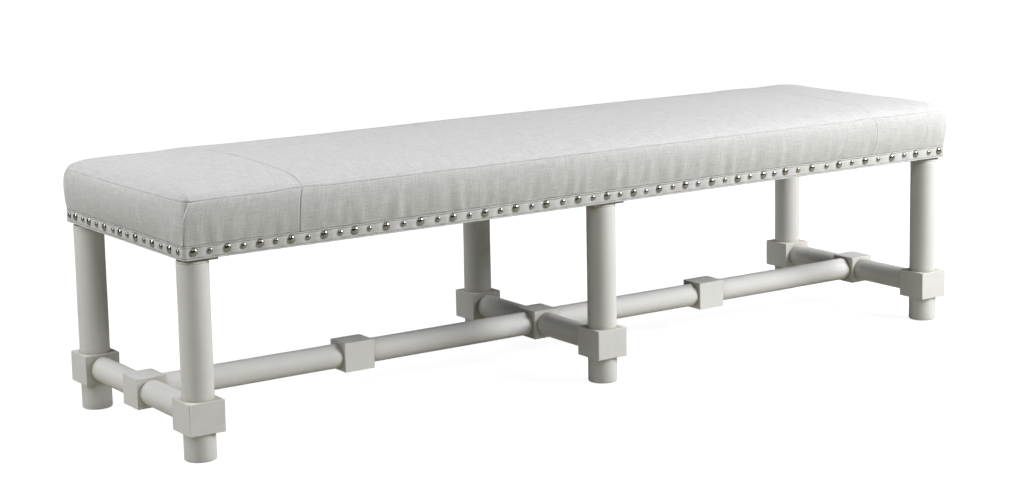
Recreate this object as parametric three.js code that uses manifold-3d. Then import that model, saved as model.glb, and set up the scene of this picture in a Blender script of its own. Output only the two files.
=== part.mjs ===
// Long upholstered bench on six round posts, with collar blocks, H-stretchers and a long centre stretcher.
// Millimetres, +Z up, X along the length, the front is -Y. The origin is on the floor, under the middle of the seat.
import * as THREE from "three";
import { mergeVertices } from "three/addons/utils/BufferGeometryUtils.js";
import Module from "manifold-3d";

const wasm = await Module();
wasm.setup();

// ---------------------------------------------------------------- driving dimensions
const GAP = 0.3; // running gap kept between neighbouring pieces

// seat outline, measured on the outside of the trim tape
const SEAT_L = 1860;
const SEAT_D = 518;
const SEAT_CORNER_R = 8;
const BAND_Z0 = 369; // lower edge of the tape
const BAND_Z1 = 395; // upper edge of the tape
const TAPE_T = 1.6;

// soft parts
const COVER_T = 1.5;
const LIP_W = 20; // how far the cover turns under the frame
const WADDING_T = 8;
// outer surface of the boxing: [stand-off from the tape's outer plane, height]
const BOXING = [
  [-1.9, 369.7],
  [-1.9, 396.5],
  [1.6, 399.5],
  [7.4, 416.5],
  [10.9, 434],
  [12.1, 453],
  [11.1, 466],
  [7.8, 475],
];
// crown of the top panel: [inset from the perimeter seam, height]
const CROWN = [
  [10, 483],
  [27, 490.3],
  [60, 497.6],
  [100, 502.6],
  [150, 506.8],
  [205, 509.3],
  [252, 510],
];

// seat frame
const FRAME_Z0 = 371;
const RAIL_T = 26;
const RAIL_W = 80;
const DECK_T = 12;
const CROSS_RAIL_X = 450;
const CROSS_RAIL_W = 60;
const DUST_Z0 = 368.6;
const DUST_T = 0.8;

// legs
const LEG_X = 899;
const LEG_Y = 227.6;
const LEG_R = 29.5;
const LEG_TOP = 365;
const FOOT_Z = 0.8;
const FOOT_ROUND = 2.2;
const BLOCK_W = 71;
const BLOCK_H = 59.2;
const BLOCK_Z = 82.5; // height of every block's centre and of every stretcher's axis
const EDGE = 1.2; // chamfer of the blocks' edges

// stretchers
const STRETCHER_R = 24.5;
const TENON_R = 11;
const TENON_L = 20;
const LEG_TENON_L = 27;
const CENTRE_BLOCK = [60, 64, 58.8];
const MID_BLOCK = [67, 58.4, 58.8];
const MID_BLOCK_X = 450;

// leg hardware
const PLATE_T = 3;
const PLATE_Z0 = 365.3;
const PLATE_OUT = 27.5; // from the bolt to the plate's edge nearest the seat's long side
const PLATE_END = 18.5; // from the bolt to the plate's edge nearest the seat's end
const PLATE_IN = 38.5; // from the bolt to the plate's inner edges
const BOLT_R = 5;
const BOLT_Z0 = 315.6;
const BOLT_Z1 = 381;
const GLIDE_R = 12.2;
const GLIDE_T = 4.5;
const STEM_R = 2.5;
const STEM_Z1 = 16;

const SEGS = 20;

// ---------------------------------------------------------------- solids
function toSolid(geometry) {
  let g = geometry.clone();
  g.deleteAttribute("normal");
  g.deleteAttribute("uv");
  g = mergeVertices(g, 1e-4);
  return new wasm.Manifold(
    new wasm.Mesh({
      numProp: 3,
      vertProperties: new Float32Array(g.attributes.position.array),
      triVerts: new Uint32Array(g.index.array),
    }),
  );
}
function toGeometry(solid) {
  const m = solid.getMesh();
  const g = new THREE.BufferGeometry();
  g.setAttribute("position", new THREE.BufferAttribute(new Float32Array(m.vertProperties), 3));
  g.setIndex(new THREE.BufferAttribute(new Uint32Array(m.triVerts), 1));
  const flat = g.toNonIndexed();
  flat.computeVertexNormals();
  return flat;
}
// a box between two corners
function box(x0, x1, y0, y1, z0, z1) {
  const g = new THREE.BoxGeometry(x1 - x0, y1 - y0, z1 - z0);
  g.translate((x0 + x1) / 2, (y0 + y1) / 2, (z0 + z1) / 2);
  return toSolid(g);
}
// a turned solid about Z from its [radius, height] profile, bottom to top
function turned(profile, segs = SEGS) {
  const g = new THREE.LatheGeometry(
    profile.map(([r, z]) => new THREE.Vector2(r, z)),
    segs,
  );
  g.rotateX(Math.PI / 2); // the lathe turns about Y
  return toSolid(g);
}
// a plain round hole cutter along an axis, between two stations
function drill(axis, r, a, b, u, v, segs = 16) {
  const g = new THREE.CylinderGeometry(r, r, b - a, segs);
  const c = (a + b) / 2;
  if (axis === "z") {
    g.rotateX(Math.PI / 2);
    g.translate(u, v, c);
  } else if (axis === "y") {
    g.translate(u, c, v);
  } else {
    g.rotateZ(Math.PI / 2);
    g.translate(c, u, v);
  }
  return toSolid(g);
}
// a block with a small chamfer on all its edges
function chamferedBlock(w, d, h, x, y, z, e = EDGE) {
  const s = new THREE.Shape();
  const a = w / 2 - e;
  const b = d / 2 - e;
  s.moveTo(-a, -b);
  s.lineTo(a, -b);
  s.lineTo(a, b);
  s.lineTo(-a, b);
  s.closePath();
  const g = new THREE.ExtrudeGeometry(s, {
    depth: h - 2 * e,
    bevelEnabled: true,
    bevelThickness: e,
    bevelSize: e,
    bevelSegments: 1,
  });
  g.translate(x, y, z - h / 2 + e);
  return toSolid(g);
}
// points of a rounded rectangle, counter-clockwise from +X
function outline(halfX, halfY, r, arc = 3) {
  const pts = [];
  const corners = [
    [halfX - r, halfY - r, 0],
    [-halfX + r, halfY - r, 90],
    [-halfX + r, -halfY + r, 180],
    [halfX - r, -halfY + r, 270],
  ];
  for (const [cx, cy, start] of corners)
    for (let i = 0; i <= arc; i++) {
      const t = THREE.MathUtils.degToRad(start + (90 * i) / arc);
      pts.push([cx + r * Math.cos(t), cy + r * Math.sin(t)]);
    }
  return pts;
}
// a closed solid through rings of equal point count, bottom to top
function loft(rings) {
  const n = rings[0].pts.length;
  const pos = [];
  const idx = [];
  for (const ring of rings) for (const [x, y] of ring.pts) pos.push(x, y, ring.z);
  for (let k = 0; k + 1 < rings.length; k++)
    for (let i = 0; i < n; i++) {
      const j = (i + 1) % n;
      const a = k * n + i;
      const b = k * n + j;
      const c = (k + 1) * n + i;
      const d = (k + 1) * n + j;
      idx.push(a, b, d, a, d, c);
    }
  const cap = (k, up) => {
    const ring = rings[k];
    const cx = ring.pts.reduce((s, p) => s + p[0], 0) / n;
    const cy = ring.pts.reduce((s, p) => s + p[1], 0) / n;
    const centre = pos.length / 3;
    pos.push(cx, cy, ring.z);
    for (let i = 0; i < n; i++) {
      const a = k * n + i;
      const b = k * n + ((i + 1) % n);
      if (up) idx.push(a, b, centre);
      else idx.push(b, a, centre);
    }
  };
  cap(0, false);
  cap(rings.length - 1, true);
  const g = new THREE.BufferGeometry();
  g.setAttribute("position", new THREE.BufferAttribute(new Float32Array(pos), 3));
  g.setIndex(idx);
  return toSolid(g);
}
// a plain prism of the seat's outline, moved in or out by `off`
function seatPrism(off, z0, z1, r = Math.max(2, SEAT_CORNER_R + off)) {
  const pts = outline(SEAT_L / 2 + off, SEAT_D / 2 + off, r);
  return loft([
    { pts, z: z0 },
    { pts, z: z1 },
  ]);
}
// the crowned cushion's body, shrunk inwards by `t` and starting at height z0
function cushion(t, z0) {
  const rings = [];
  const ring = (off, z) => {
    const r = Math.max(2, SEAT_CORNER_R + off);
    rings.push({ pts: outline(SEAT_L / 2 + off, SEAT_D / 2 + off, r), z });
  };
  const sides = BOXING.filter(([, z]) => z - t * 0.35 > z0 + 0.5);
  const first = BOXING.find(([, z]) => z > z0) || BOXING[0];
  const before = BOXING[Math.max(0, BOXING.indexOf(first) - 1)];
  const k = first === before ? 0 : (z0 - before[1]) / (first[1] - before[1]);
  ring(before[0] + Math.min(1, Math.max(0, k)) * (first[0] - before[0]) - t, z0);
  for (const [off, z] of sides) ring(off - t, z - t * 0.35);
  const edge = BOXING[BOXING.length - 1][0];
  for (const [d, z] of CROWN) {
    const inset = Math.min(d, SEAT_D / 2 + edge - 3 - t);
    ring(edge - inset - t * Math.max(0, 1 - d / 40), z - t * Math.min(1, 0.6 + d / 100));
  }
  return loft(rings);
}

// ---------------------------------------------------------------- assembly helpers
const group = new THREE.Group();
group.name = "bench";
const PAINT = { color: 0xe6e2d6, roughness: 0.45, metalness: 0.0 };
const RAW_WOOD = { color: 0xc9a873, roughness: 0.8, metalness: 0.0 };
const PLY = { color: 0xd2b584, roughness: 0.8, metalness: 0.0 };
const STEEL = { color: 0x6d6a64, roughness: 0.4, metalness: 1.0 };
const NYLON = { color: 0xd9d8d2, roughness: 0.55, metalness: 0.0 };
const LINEN = { color: 0xd9d9d7, roughness: 0.95, metalness: 0.0 };
const TAPE = { color: 0xe0dfdc, roughness: 0.9, metalness: 0.0 };
const FOAM = { color: 0xefe3b4, roughness: 1.0, metalness: 0.0 };
const WADDING = { color: 0xf6f6f4, roughness: 1.0, metalness: 0.0 };
const CAMBRIC = { color: 0x1d1d1f, roughness: 0.95, metalness: 0.0 };

function add(name, solid, finish, parent = group) {
  const mesh = new THREE.Mesh(toGeometry(solid), new THREE.MeshStandardMaterial(finish));
  mesh.name = name;
  parent.add(mesh);
  return mesh;
}

const LEGS = [
  ["front_left", -1, -1],
  ["front_middle", 0, -1],
  ["front_right", 1, -1],
  ["back_left", -1, 1],
  ["back_middle", 0, 1],
  ["back_right", 1, 1],
];

// ---------------------------------------------------------------- legs
for (const [where, sx, sy] of LEGS) {
  const x = sx * LEG_X;
  const y = sy * LEG_Y;

  // round post: glide recess below, bolt hole above, one mortise facing the bench's middle line
  const post = turned([
    [0, FOOT_Z],
    [LEG_R - FOOT_ROUND, FOOT_Z],
    [LEG_R, FOOT_Z + FOOT_ROUND],
    [LEG_R, LEG_TOP - 1.2],
    [LEG_R - 1.2, LEG_TOP],
    [0, LEG_TOP],
  ])
    .translate([x, y, 0])
    .subtract(drill("z", GLIDE_R + GAP, -2, GLIDE_T + GAP, x, y, 12))
    .subtract(drill("z", STEM_R + GAP, 0, STEM_Z1 + 1, x, y, 8))
    .subtract(drill("z", BOLT_R + GAP, BOLT_Z0 - 0.6, LEG_TOP + 4, x, y, 8));
  const inner = y - sy * (BLOCK_W / 2 - LEG_TENON_L - 0.8); // bottom of the mortise
  const face = y - sy * (BLOCK_W / 2 + 2);
  const mortise = drill("y", TENON_R + GAP, Math.min(inner, face), Math.max(inner, face), x, BLOCK_Z);
  add("leg_post_" + where, post.subtract(mortise), PAINT);

  // square collar block: bored for the post, with a hole for the stretcher's tenon
  const block = chamferedBlock(BLOCK_W, BLOCK_W, BLOCK_H, x, y, BLOCK_Z)
    .subtract(drill("z", LEG_R + GAP, BLOCK_Z - BLOCK_H, BLOCK_Z + BLOCK_H, x, y, SEGS))
    .subtract(mortise);
  add("leg_block_" + where, block, PAINT);

  // mounting plate under the seat rail, set in from the seat's outline
  const px0 = sx === 0 ? -PLATE_IN : sx > 0 ? x - PLATE_IN : x - PLATE_END;
  const px1 = sx === 0 ? PLATE_IN : sx > 0 ? x + PLATE_END : x + PLATE_IN;
  const py0 = sy > 0 ? y - PLATE_IN : y - PLATE_OUT;
  const py1 = sy > 0 ? y + PLATE_OUT : y + PLATE_IN;
  let plate = box(px0, px1, py0, py1, PLATE_Z0, PLATE_Z0 + PLATE_T);
  plate = plate.subtract(drill("z", BOLT_R + GAP, PLATE_Z0 - 5, PLATE_Z0 + 10, x, y, 8));
  for (const [hx, hy] of [
    [px0 + 7, py0 + 7],
    [px1 - 7, py0 + 7],
    [px1 - 7, py1 - 7],
    [px0 + 7, py1 - 7],
  ])
    plate = plate.subtract(drill("z", 2.4, PLATE_Z0 - 5, PLATE_Z0 + 10, hx, hy, 6));
  add("leg_plate_" + where, plate, STEEL);

  // hanger bolt from the post's top up through the plate
  add(
    "leg_bolt_" + where,
    turned(
      [
        [0, BOLT_Z0],
        [BOLT_R - 0.4, BOLT_Z0],
        [BOLT_R - 0.4, BOLT_Z1],
        [0, BOLT_Z1],
      ],
      8,
    ).translate([x, y, 0]),
    STEEL,
  );

  // glide let into the foot, standing just proud of it
  add(
    "glide_" + where,
    turned(
      [
        [0, 0],
        [GLIDE_R - 0.8, 0],
        [GLIDE_R, 0.8],
        [GLIDE_R - 0.3, GLIDE_T],
        [STEM_R, GLIDE_T],
        [STEM_R, STEM_Z1],
        [0, STEM_Z1],
      ],
      12,
    ).translate([x, y, 0]),
    NYLON,
  );
}

// ---------------------------------------------------------------- stretchers
// a round bar along an axis with a tenon at each end
function bar(axis, a, b, tenonA, tenonB, at) {
  const profile = [
    [0, a - tenonA],
    [TENON_R, a - tenonA],
    [TENON_R, a],
    [STRETCHER_R, a],
    [STRETCHER_R, b],
    [TENON_R, b],
    [TENON_R, b + tenonB],
    [0, b + tenonB],
  ];
  const s = turned(profile);
  if (axis === "y") return s.rotate([-90, 0, 0]).translate([at, 0, BLOCK_Z]);
  return s.rotate([0, 90, 0]).translate([0, at, BLOCK_Z]);
}
const [CB_W, CB_D, CB_H] = CENTRE_BLOCK;
const [MB_W, MB_D, MB_H] = MID_BLOCK;
for (const [where, sx] of [
  ["left", -1],
  ["middle", 0],
  ["right", 1],
]) {
  const x = sx * LEG_X;
  // the two halves of the cross stretcher, front and back of the centre block
  const y0 = LEG_Y - BLOCK_W / 2 - GAP;
  const y1 = CB_D / 2 + GAP;
  add("cross_stretcher_" + where + "_front", bar("y", -y0, -y1, LEG_TENON_L, TENON_L, x), PAINT);
  add("cross_stretcher_" + where + "_back", bar("y", y1, y0, TENON_L, LEG_TENON_L, x), PAINT);
  // centre block, with its blind sockets
  let block = chamferedBlock(CB_W, CB_D, CB_H, x, 0, BLOCK_Z);
  const deep = TENON_L + 0.8;
  block = block
    .subtract(drill("y", TENON_R + GAP, -CB_D / 2 - 5, -CB_D / 2 + deep, x, BLOCK_Z))
    .subtract(drill("y", TENON_R + GAP, CB_D / 2 - deep, CB_D / 2 + 5, x, BLOCK_Z));
  if (sx >= 0) block = block.subtract(drill("x", TENON_R + GAP, x - CB_W / 2 - 5, x - CB_W / 2 + deep - 1.5, 0, BLOCK_Z));
  if (sx <= 0) block = block.subtract(drill("x", TENON_R + GAP, x + CB_W / 2 - deep + 1.5, x + CB_W / 2 + 5, 0, BLOCK_Z));
  add("centre_block_" + where, block, PAINT);
}
const LT = TENON_L - 1.5;
const inX = CB_W / 2 + GAP;
const mX = MB_W / 2 + GAP;
add("long_stretcher_1_left_end", bar("x", -LEG_X + inX, -MID_BLOCK_X - mX, LT, TENON_L, 0), PAINT);
add("long_stretcher_2_left_inner", bar("x", -MID_BLOCK_X + mX, -inX, TENON_L, LT, 0), PAINT);
add("long_stretcher_3_right_inner", bar("x", inX, MID_BLOCK_X - mX, LT, TENON_L, 0), PAINT);
add("long_stretcher_4_right_end", bar("x", MID_BLOCK_X + mX, LEG_X - inX, TENON_L, LT, 0), PAINT);
for (const [where, sx] of [
  ["left", -1],
  ["right", 1],
]) {
  const x = sx * MID_BLOCK_X;
  const deep = TENON_L + 0.8;
  const block = chamferedBlock(MB_W, MB_D, MB_H, x, 0, BLOCK_Z)
    .subtract(drill("x", TENON_R + GAP, x - MB_W / 2 - 5, x - MB_W / 2 + deep, 0, BLOCK_Z))
    .subtract(drill("x", TENON_R + GAP, x + MB_W / 2 - deep, x + MB_W / 2 + 5, 0, BLOCK_Z));
  add("stretcher_block_" + where, block, PAINT);
}

// ---------------------------------------------------------------- seat frame
const railOff = -(TAPE_T + GAP + COVER_T + GAP); // outer face of the frame, from the tape's outer plane
const halfX = SEAT_L / 2 + railOff;
const halfY = SEAT_D / 2 + railOff;
const railEnvelope = seatPrism(railOff, FRAME_Z0, FRAME_Z0 + RAIL_T, SEAT_CORNER_R + railOff);
function boltHoles(solid, list) {
  for (const [, sx, sy] of list)
    solid = solid.subtract(drill("z", BOLT_R + 3, 360, BOLT_Z1 + 3, sx * LEG_X, sy * LEG_Y, 8));
  return solid;
}
add(
  "seat_rail_front",
  boltHoles(railEnvelope.intersect(box(-halfX - 9, halfX + 9, -halfY - 9, -halfY + RAIL_W, 300, 450)), LEGS.filter((l) => l[2] < 0)),
  RAW_WOOD,
);
add(
  "seat_rail_back",
  boltHoles(railEnvelope.intersect(box(-halfX - 9, halfX + 9, halfY - RAIL_W, halfY + 9, 300, 450)), LEGS.filter((l) => l[2] > 0)),
  RAW_WOOD,
);
const between = halfY - RAIL_W - GAP;
add("seat_rail_left_end", box(-halfX, -halfX + RAIL_W, -between, between, FRAME_Z0, FRAME_Z0 + RAIL_T), RAW_WOOD);
add("seat_rail_right_end", box(halfX - RAIL_W, halfX, -between, between, FRAME_Z0, FRAME_Z0 + RAIL_T), RAW_WOOD);
for (const [where, x, w] of [
  ["left", -CROSS_RAIL_X, CROSS_RAIL_W],
  ["middle", 0, RAIL_W],
  ["right", CROSS_RAIL_X, CROSS_RAIL_W],
])
  add("seat_cross_rail_" + where, box(x - w / 2, x + w / 2, -between, between, FRAME_Z0, FRAME_Z0 + RAIL_T), RAW_WOOD);

const deckZ0 = FRAME_Z0 + RAIL_T + GAP;
add("seat_deck", seatPrism(railOff, deckZ0, deckZ0 + DECK_T, SEAT_CORNER_R + railOff), PLY);

// ---------------------------------------------------------------- upholstery
const padZ0 = deckZ0 + DECK_T + GAP;
const coverIn = COVER_T + GAP;
add("seat_foam", cushion(coverIn + WADDING_T + GAP, padZ0), FOAM);
add("seat_wadding", cushion(coverIn, padZ0).subtract(cushion(coverIn + WADDING_T, padZ0 - 4)), WADDING);
const cover = cushion(0, BOXING[0][1])
  .subtract(cushion(COVER_T, BOXING[0][1] + 1))
  .subtract(seatPrism(-1.9 - LIP_W, BOXING[0][1] - 3, BOXING[0][1] + 4, 4));
add("seat_cover", cover, LINEN);
add("trim_tape", seatPrism(0, BAND_Z0, BAND_Z1).subtract(seatPrism(-TAPE_T, BAND_Z0 - 5, BAND_Z1 + 5)), TAPE);
add("dust_cover", boltHoles(seatPrism(-10, DUST_Z0, DUST_Z0 + DUST_T, 6), LEGS), CAMBRIC);

export default group;
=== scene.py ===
# Long upholstered bench: the looks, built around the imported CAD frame.
# Lengths in the tables are millimetres, in the CAD frame; Blender gets metres.
import math

import bmesh
import bpy
import numpy as np
from mathutils import Matrix, Vector


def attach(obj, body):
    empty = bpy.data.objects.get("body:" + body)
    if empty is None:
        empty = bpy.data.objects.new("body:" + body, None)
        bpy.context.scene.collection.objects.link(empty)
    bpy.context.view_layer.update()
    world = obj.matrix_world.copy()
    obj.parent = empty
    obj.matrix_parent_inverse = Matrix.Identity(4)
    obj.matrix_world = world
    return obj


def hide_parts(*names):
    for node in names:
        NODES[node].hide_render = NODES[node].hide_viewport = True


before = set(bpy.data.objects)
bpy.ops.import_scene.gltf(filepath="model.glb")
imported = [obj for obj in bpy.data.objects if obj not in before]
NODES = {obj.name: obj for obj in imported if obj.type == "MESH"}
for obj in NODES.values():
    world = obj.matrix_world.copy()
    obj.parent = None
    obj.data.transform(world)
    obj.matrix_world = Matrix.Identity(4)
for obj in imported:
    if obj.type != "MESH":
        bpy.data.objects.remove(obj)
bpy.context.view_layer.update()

MM = 0.001
RNG = np.random.default_rng(20)

# ---------------------------------------------------------------- dimensions shared with the CAD model
SEAT_L, SEAT_D = 1860.0, 518.0
BAND_Z0, BAND_Z1, TAPE_T = 369.0, 395.0, 1.6
BOXING = [(-1.9, 369.7), (-1.9, 396.5), (1.6, 399.5), (7.4, 416.5), (10.9, 434), (12.1, 453), (11.1, 466), (7.8, 475)]
CROWN = [(0, 475), (10, 483), (27, 490.3), (60, 497.6), (100, 502.6), (150, 506.8), (205, 509.3), (252, 510), (1200, 510.4)]
SEAM_X = (-696.0, 705.0)  # cross seams of the top and upright seams of the boxing
LEG_X, LEG_Y, LEG_R, LEG_TOP = 899.0, 227.6, 29.5, 365.0
BLOCK_W, BLOCK_H, BLOCK_Z = 71.0, 59.2, 82.5
STRETCHER_R, TENON_R = 24.5, 11.0
CENTRE_BLOCK, MID_BLOCK, MID_BLOCK_X = (60.0, 64.0, 58.8), (67.0, 58.4, 58.8), 450.0
LEGS = [("front_left", -1, -1), ("front_middle", 0, -1), ("front_right", 1, -1), ("back_left", -1, 1), ("back_middle", 0, 1), ("back_right", 1, 1)]

# stations of the nail heads along each side
FRONT_X = [-910.9, -879.0, -844.7, -813.1, -779.5, -748.6, -717.1, -682.7, -649.2, -615.6, -585.4, -554.2, -517.9, -480.5, -442.9, -404.8, -370.9, -333.9, -298.5, -262.3, -227.0, -189.4, -155.1, -115.3, -78.1, -41.8, -7.2, 24.7, 58.6, 90.7, 123.2, 158.7, 191.5, 224.6, 260.8, 296.0, 330.1, 363.9, 400.0, 430.4, 460.4, 497.1, 535.3, 577.7, 613.5, 651.0, 689.8, 728.3, 769.3, 806.8, 841.5, 881.4, 912.0]
LEFT_Y = [-236.8, -203.3, -168.2, -132.0, -97.4, -60.9, -24.4, 7.6, 38.8, 77.1, 114.3, 148.8, 178.3, 213.1, 248.8 - 6.0]
BACK_X = [-x + float(d) for x, d in zip(reversed(FRONT_X), RNG.normal(0, 1.6, len(FRONT_X)))]
RIGHT_Y = [y + float(d) for y, d in zip(LEFT_Y, RNG.normal(0, 1.6, len(LEFT_Y)))]
NAIL_Z = 383.8

# the tape's section, clockwise from the lower back edge: [out, z, how much of the pucker it takes, how much of the edge wave]
SECTION = [
    (-1.60, 369.9, 0.0, 1.0), (-1.10, 369.25, 0.1, 1.0), (-0.30, 369.0, 0.3, 1.0), (0.35, 369.3, 0.5, 1.0), (0.62, 370.1, 0.6, 1.0), (0.50, 371.0, 0.6, 1.0), (0.08, 371.6, 0.6, 1.0),
    (-1.00, 372.2, 0.6, 0.8), (-0.05, 373.0, 0.8, 0.5), (0.02, 375.5, 1.0, 0.3), (0.05, 379.5, 1.15, 0.0), (0.05, 383.8, 1.2, 0.0), (0.05, 388.0, 1.1, 0.0), (0.00, 390.6, 0.9, -0.4),
    (-1.05, 391.6, 0.7, -0.7), (0.02, 392.3, 0.7, -0.8), (0.52, 393.1, 0.7, -1.0), (0.70, 394.0, 0.6, -1.0), (0.38, 394.8, 0.5, -1.0), (-0.35, 395.0, 0.3, -1.0), (-1.10, 394.8, 0.1, -1.0), (-1.60, 394.2, 0.0, -1.0), (-1.62, 384.0, 0.0, 0.0), (-1.62, 376.0, 0.0, 0.0),
]
# where the two painted shade lines run along the tape: its stitched grooves
TAPE_GROOVE_SHADE_AT = [sum(math.hypot(a[0] - b[0], a[1] - b[1]) for a, b in zip(SECTION[:k], SECTION[1 : k + 1])) for k in (7, 14)]


# ---------------------------------------------------------------- node helpers
class Shader:
    """A short way to write a node material."""

    def __init__(self, name):
        self.mat = bpy.data.materials.new(name)
        self.mat.use_nodes = True
        self.nt = self.mat.node_tree
        self.nt.nodes.clear()
        self.out = self.nt.nodes.new("ShaderNodeOutputMaterial")
        self.bsdf = self.nt.nodes.new("ShaderNodeBsdfPrincipled")
        self.nt.links.new(self.bsdf.outputs["BSDF"], self.out.inputs["Surface"])
        self.row = 0

    def node(self, kind, **props):
        n = self.nt.nodes.new(kind)
        self.row += 1
        n.location = (-200 - 190 * (self.row % 8), 320 - 170 * (self.row // 8))
        for k, v in props.items():
            setattr(n, k, v)
        return n

    def put(self, socket, value):
        if isinstance(value, bpy.types.NodeSocket):
            self.nt.links.new(value, socket)
        elif value is not None:
            if hasattr(socket.default_value, "__len__") and not hasattr(value, "__len__"):
                value = [value] * len(socket.default_value)
            if hasattr(socket.default_value, "__len__") and len(socket.default_value) == 4 and len(value) == 3:
                value = tuple(value) + (1.0,)
            socket.default_value = value

    def math(self, op, a, b=None, c=None, clamp=False):
        n = self.node("ShaderNodeMath", operation=op, use_clamp=clamp)
        for s, v in zip(n.inputs, (a, b, c)):
            self.put(s, v)
        return n.outputs[0]

    def vmath(self, op, a, b=None):
        n = self.node("ShaderNodeVectorMath", operation=op)
        self.put(n.inputs[0], a)
        if b is not None:
            self.put(n.inputs[1], b)
        return n.outputs["Value"] if op == "DOT_PRODUCT" else n.outputs["Vector"]

    def remap(self, v, a, b, c=0.0, d=1.0):
        n = self.node("ShaderNodeMapRange", clamp=True)
        for s, x in zip(n.inputs, (v, a, b, c, d)):
            self.put(s, x)
        return n.outputs["Result"]

    def mix(self, fac, a, b, blend="MIX"):
        n = self.node("ShaderNodeMix", data_type="RGBA", blend_type=blend, clamp_factor=True)
        self.put(n.inputs["Factor"], fac)
        self.put([s for s in n.inputs if s.name == "A" and s.type == "RGBA"][0], a)
        self.put([s for s in n.inputs if s.name == "B" and s.type == "RGBA"][0], b)
        return [s for s in n.outputs if s.type == "RGBA"][0]

    def place(self, vec, scale=(1, 1, 1), loc=(0, 0, 0), rot=(0, 0, 0)):
        n = self.node("ShaderNodeMapping")
        self.put(n.inputs["Vector"], vec)
        n.inputs["Scale"].default_value = scale
        n.inputs["Location"].default_value = loc
        n.inputs["Rotation"].default_value = rot
        return n.outputs["Vector"]

    def noise(self, vec, scale, detail=2.0, rough=0.5, distort=0.0):
        n = self.node("ShaderNodeTexNoise", noise_dimensions="3D")
        self.put(n.inputs["Vector"], vec)
        n.inputs["Scale"].default_value = scale
        n.inputs["Detail"].default_value = detail
        n.inputs["Roughness"].default_value = rough
        n.inputs["Distortion"].default_value = distort
        return n.outputs["Fac"]

    def voronoi(self, vec, scale, feature="F1", rand=1.0):
        n = self.node("ShaderNodeTexVoronoi", feature=feature)
        self.put(n.inputs["Vector"], vec)
        n.inputs["Scale"].default_value = scale
        n.inputs["Randomness"].default_value = rand
        return n.outputs["Distance"]

    def coords(self):
        return self.node("ShaderNodeTexCoord").outputs["Object"]

    def uv(self, name):
        return self.node("ShaderNodeUVMap", uv_map=name).outputs["UV"]

    def occlusion(self, distance, samples=6, inside=False):
        n = self.node("ShaderNodeAmbientOcclusion", samples=samples, inside=inside)
        n.inputs["Distance"].default_value = distance
        return n.outputs["AO"]

    def bump(self, height, distance, strength=1.0, normal=None):
        n = self.node("ShaderNodeBump")
        self.put(n.inputs["Height"], height)
        n.inputs["Distance"].default_value = distance
        n.inputs["Strength"].default_value = strength
        if normal is not None:
            self.put(n.inputs["Normal"], normal)
        return n.outputs["Normal"]

    def set(self, **sockets):
        names = {
            "color": "Base Color", "rough": "Roughness", "metal": "Metallic", "normal": "Normal", "ior": "IOR",
            "spec": "Specular IOR Level", "sheen": "Sheen Weight", "sheen_rough": "Sheen Roughness",
            "sheen_tint": "Sheen Tint", "coat": "Coat Weight", "coat_rough": "Coat Roughness", "sub": "Subsurface Weight",
        }
        for k, v in sockets.items():
            self.put(self.bsdf.inputs[names[k]], v)
        return self.mat


# ---------------------------------------------------------------- materials
def painted_wood(name, along, light=1.0):
    """Antique white satin paint over turned or planed wood, with painted shade, darker and browner, where two pieces
    meet, standing for the shade there and a thin glaze.
    """
    s = Shader(name)
    co = s.coords()
    stretch = {"x": (5, 95, 95), "y": (95, 5, 95), "z": (95, 95, 5), "block": (45, 45, 45)}[along]
    grain = {"x": (14, 420, 420), "y": (420, 14, 420), "z": (420, 420, 14), "block": (14, 300, 300)}[along]
    cloud = s.noise(co, 7.0, 3.0, 0.55)
    brush = s.noise(s.place(co, stretch), 1.0, 3.0, 0.6)
    fine = s.noise(s.place(co, grain), 1.0, 2.0, 0.55)
    # light above 1 lifts the paint colours: painted light, for the copies used on parts that the seat shades
    painted_light_tone = lambda *c: tuple(min(0.92, v * light) for v in c)
    paint = s.mix(s.remap(cloud, 0.3, 0.7), painted_light_tone(0.812, 0.812, 0.808), painted_light_tone(0.775, 0.774, 0.766))
    paint = s.mix(s.remap(brush, 0.35, 0.75, 0.0, 0.55), paint, painted_light_tone(0.738, 0.733, 0.715))
    # painted shade: darker and browner where two pieces meet, from ambient occlusion over 30 mm, for the shade there
    # and a thin glaze in the joint
    ao = s.occlusion(0.030, 6)
    painted_crease_shade = s.remap(ao, 0.82, 0.30, 0.0, 0.62)
    painted_crease_shade = s.math("MULTIPLY", painted_crease_shade, s.remap(s.noise(co, 60.0, 2.0), 0.25, 0.7, 0.55, 1.0))
    painted_warm_shade = s.math("MULTIPLY", s.remap(ao, 0.97, 0.62, 0.0, 0.42), s.remap(s.noise(co, 24.0, 2.0), 0.30, 0.62, 0.15, 1.0))
    paint = s.mix(painted_warm_shade, paint, (0.640, 0.575, 0.450))
    paint = s.mix(painted_crease_shade, paint, (0.350, 0.325, 0.245))
    # rubbed edges show the ground coat
    bev = s.node("ShaderNodeBevel", samples=4)
    bev.inputs["Radius"].default_value = 0.0016
    geo = s.node("ShaderNodeNewGeometry")
    edge = s.math("SUBTRACT", 1.0, s.vmath("DOT_PRODUCT", bev.outputs["Normal"], geo.outputs["Normal"]))
    rub = s.math("MULTIPLY", s.remap(edge, 0.02, 0.12), s.remap(s.noise(co, 38.0, 3.0, 0.6), 0.40, 0.60))
    paint = s.mix(s.math("MULTIPLY", rub, 0.85), paint, (0.450, 0.395, 0.300))
    # a few small flecks of wear and dust
    fleck = s.remap(s.noise(co, 210.0, 1.0), 0.73, 0.80, 0.0, 0.35)
    paint = s.mix(fleck, paint, (0.500, 0.450, 0.360))
    rough = s.math("ADD", s.remap(brush, 0.2, 0.8, 0.50, 0.64), s.remap(cloud, 0.2, 0.8, -0.03, 0.05))
    h = s.math("ADD", s.math("MULTIPLY", brush, 0.7), s.math("MULTIPLY", fine, 0.45))
    return s.set(color=paint, rough=rough, normal=s.bump(h, 0.00022, 0.55), spec=0.30)


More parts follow.
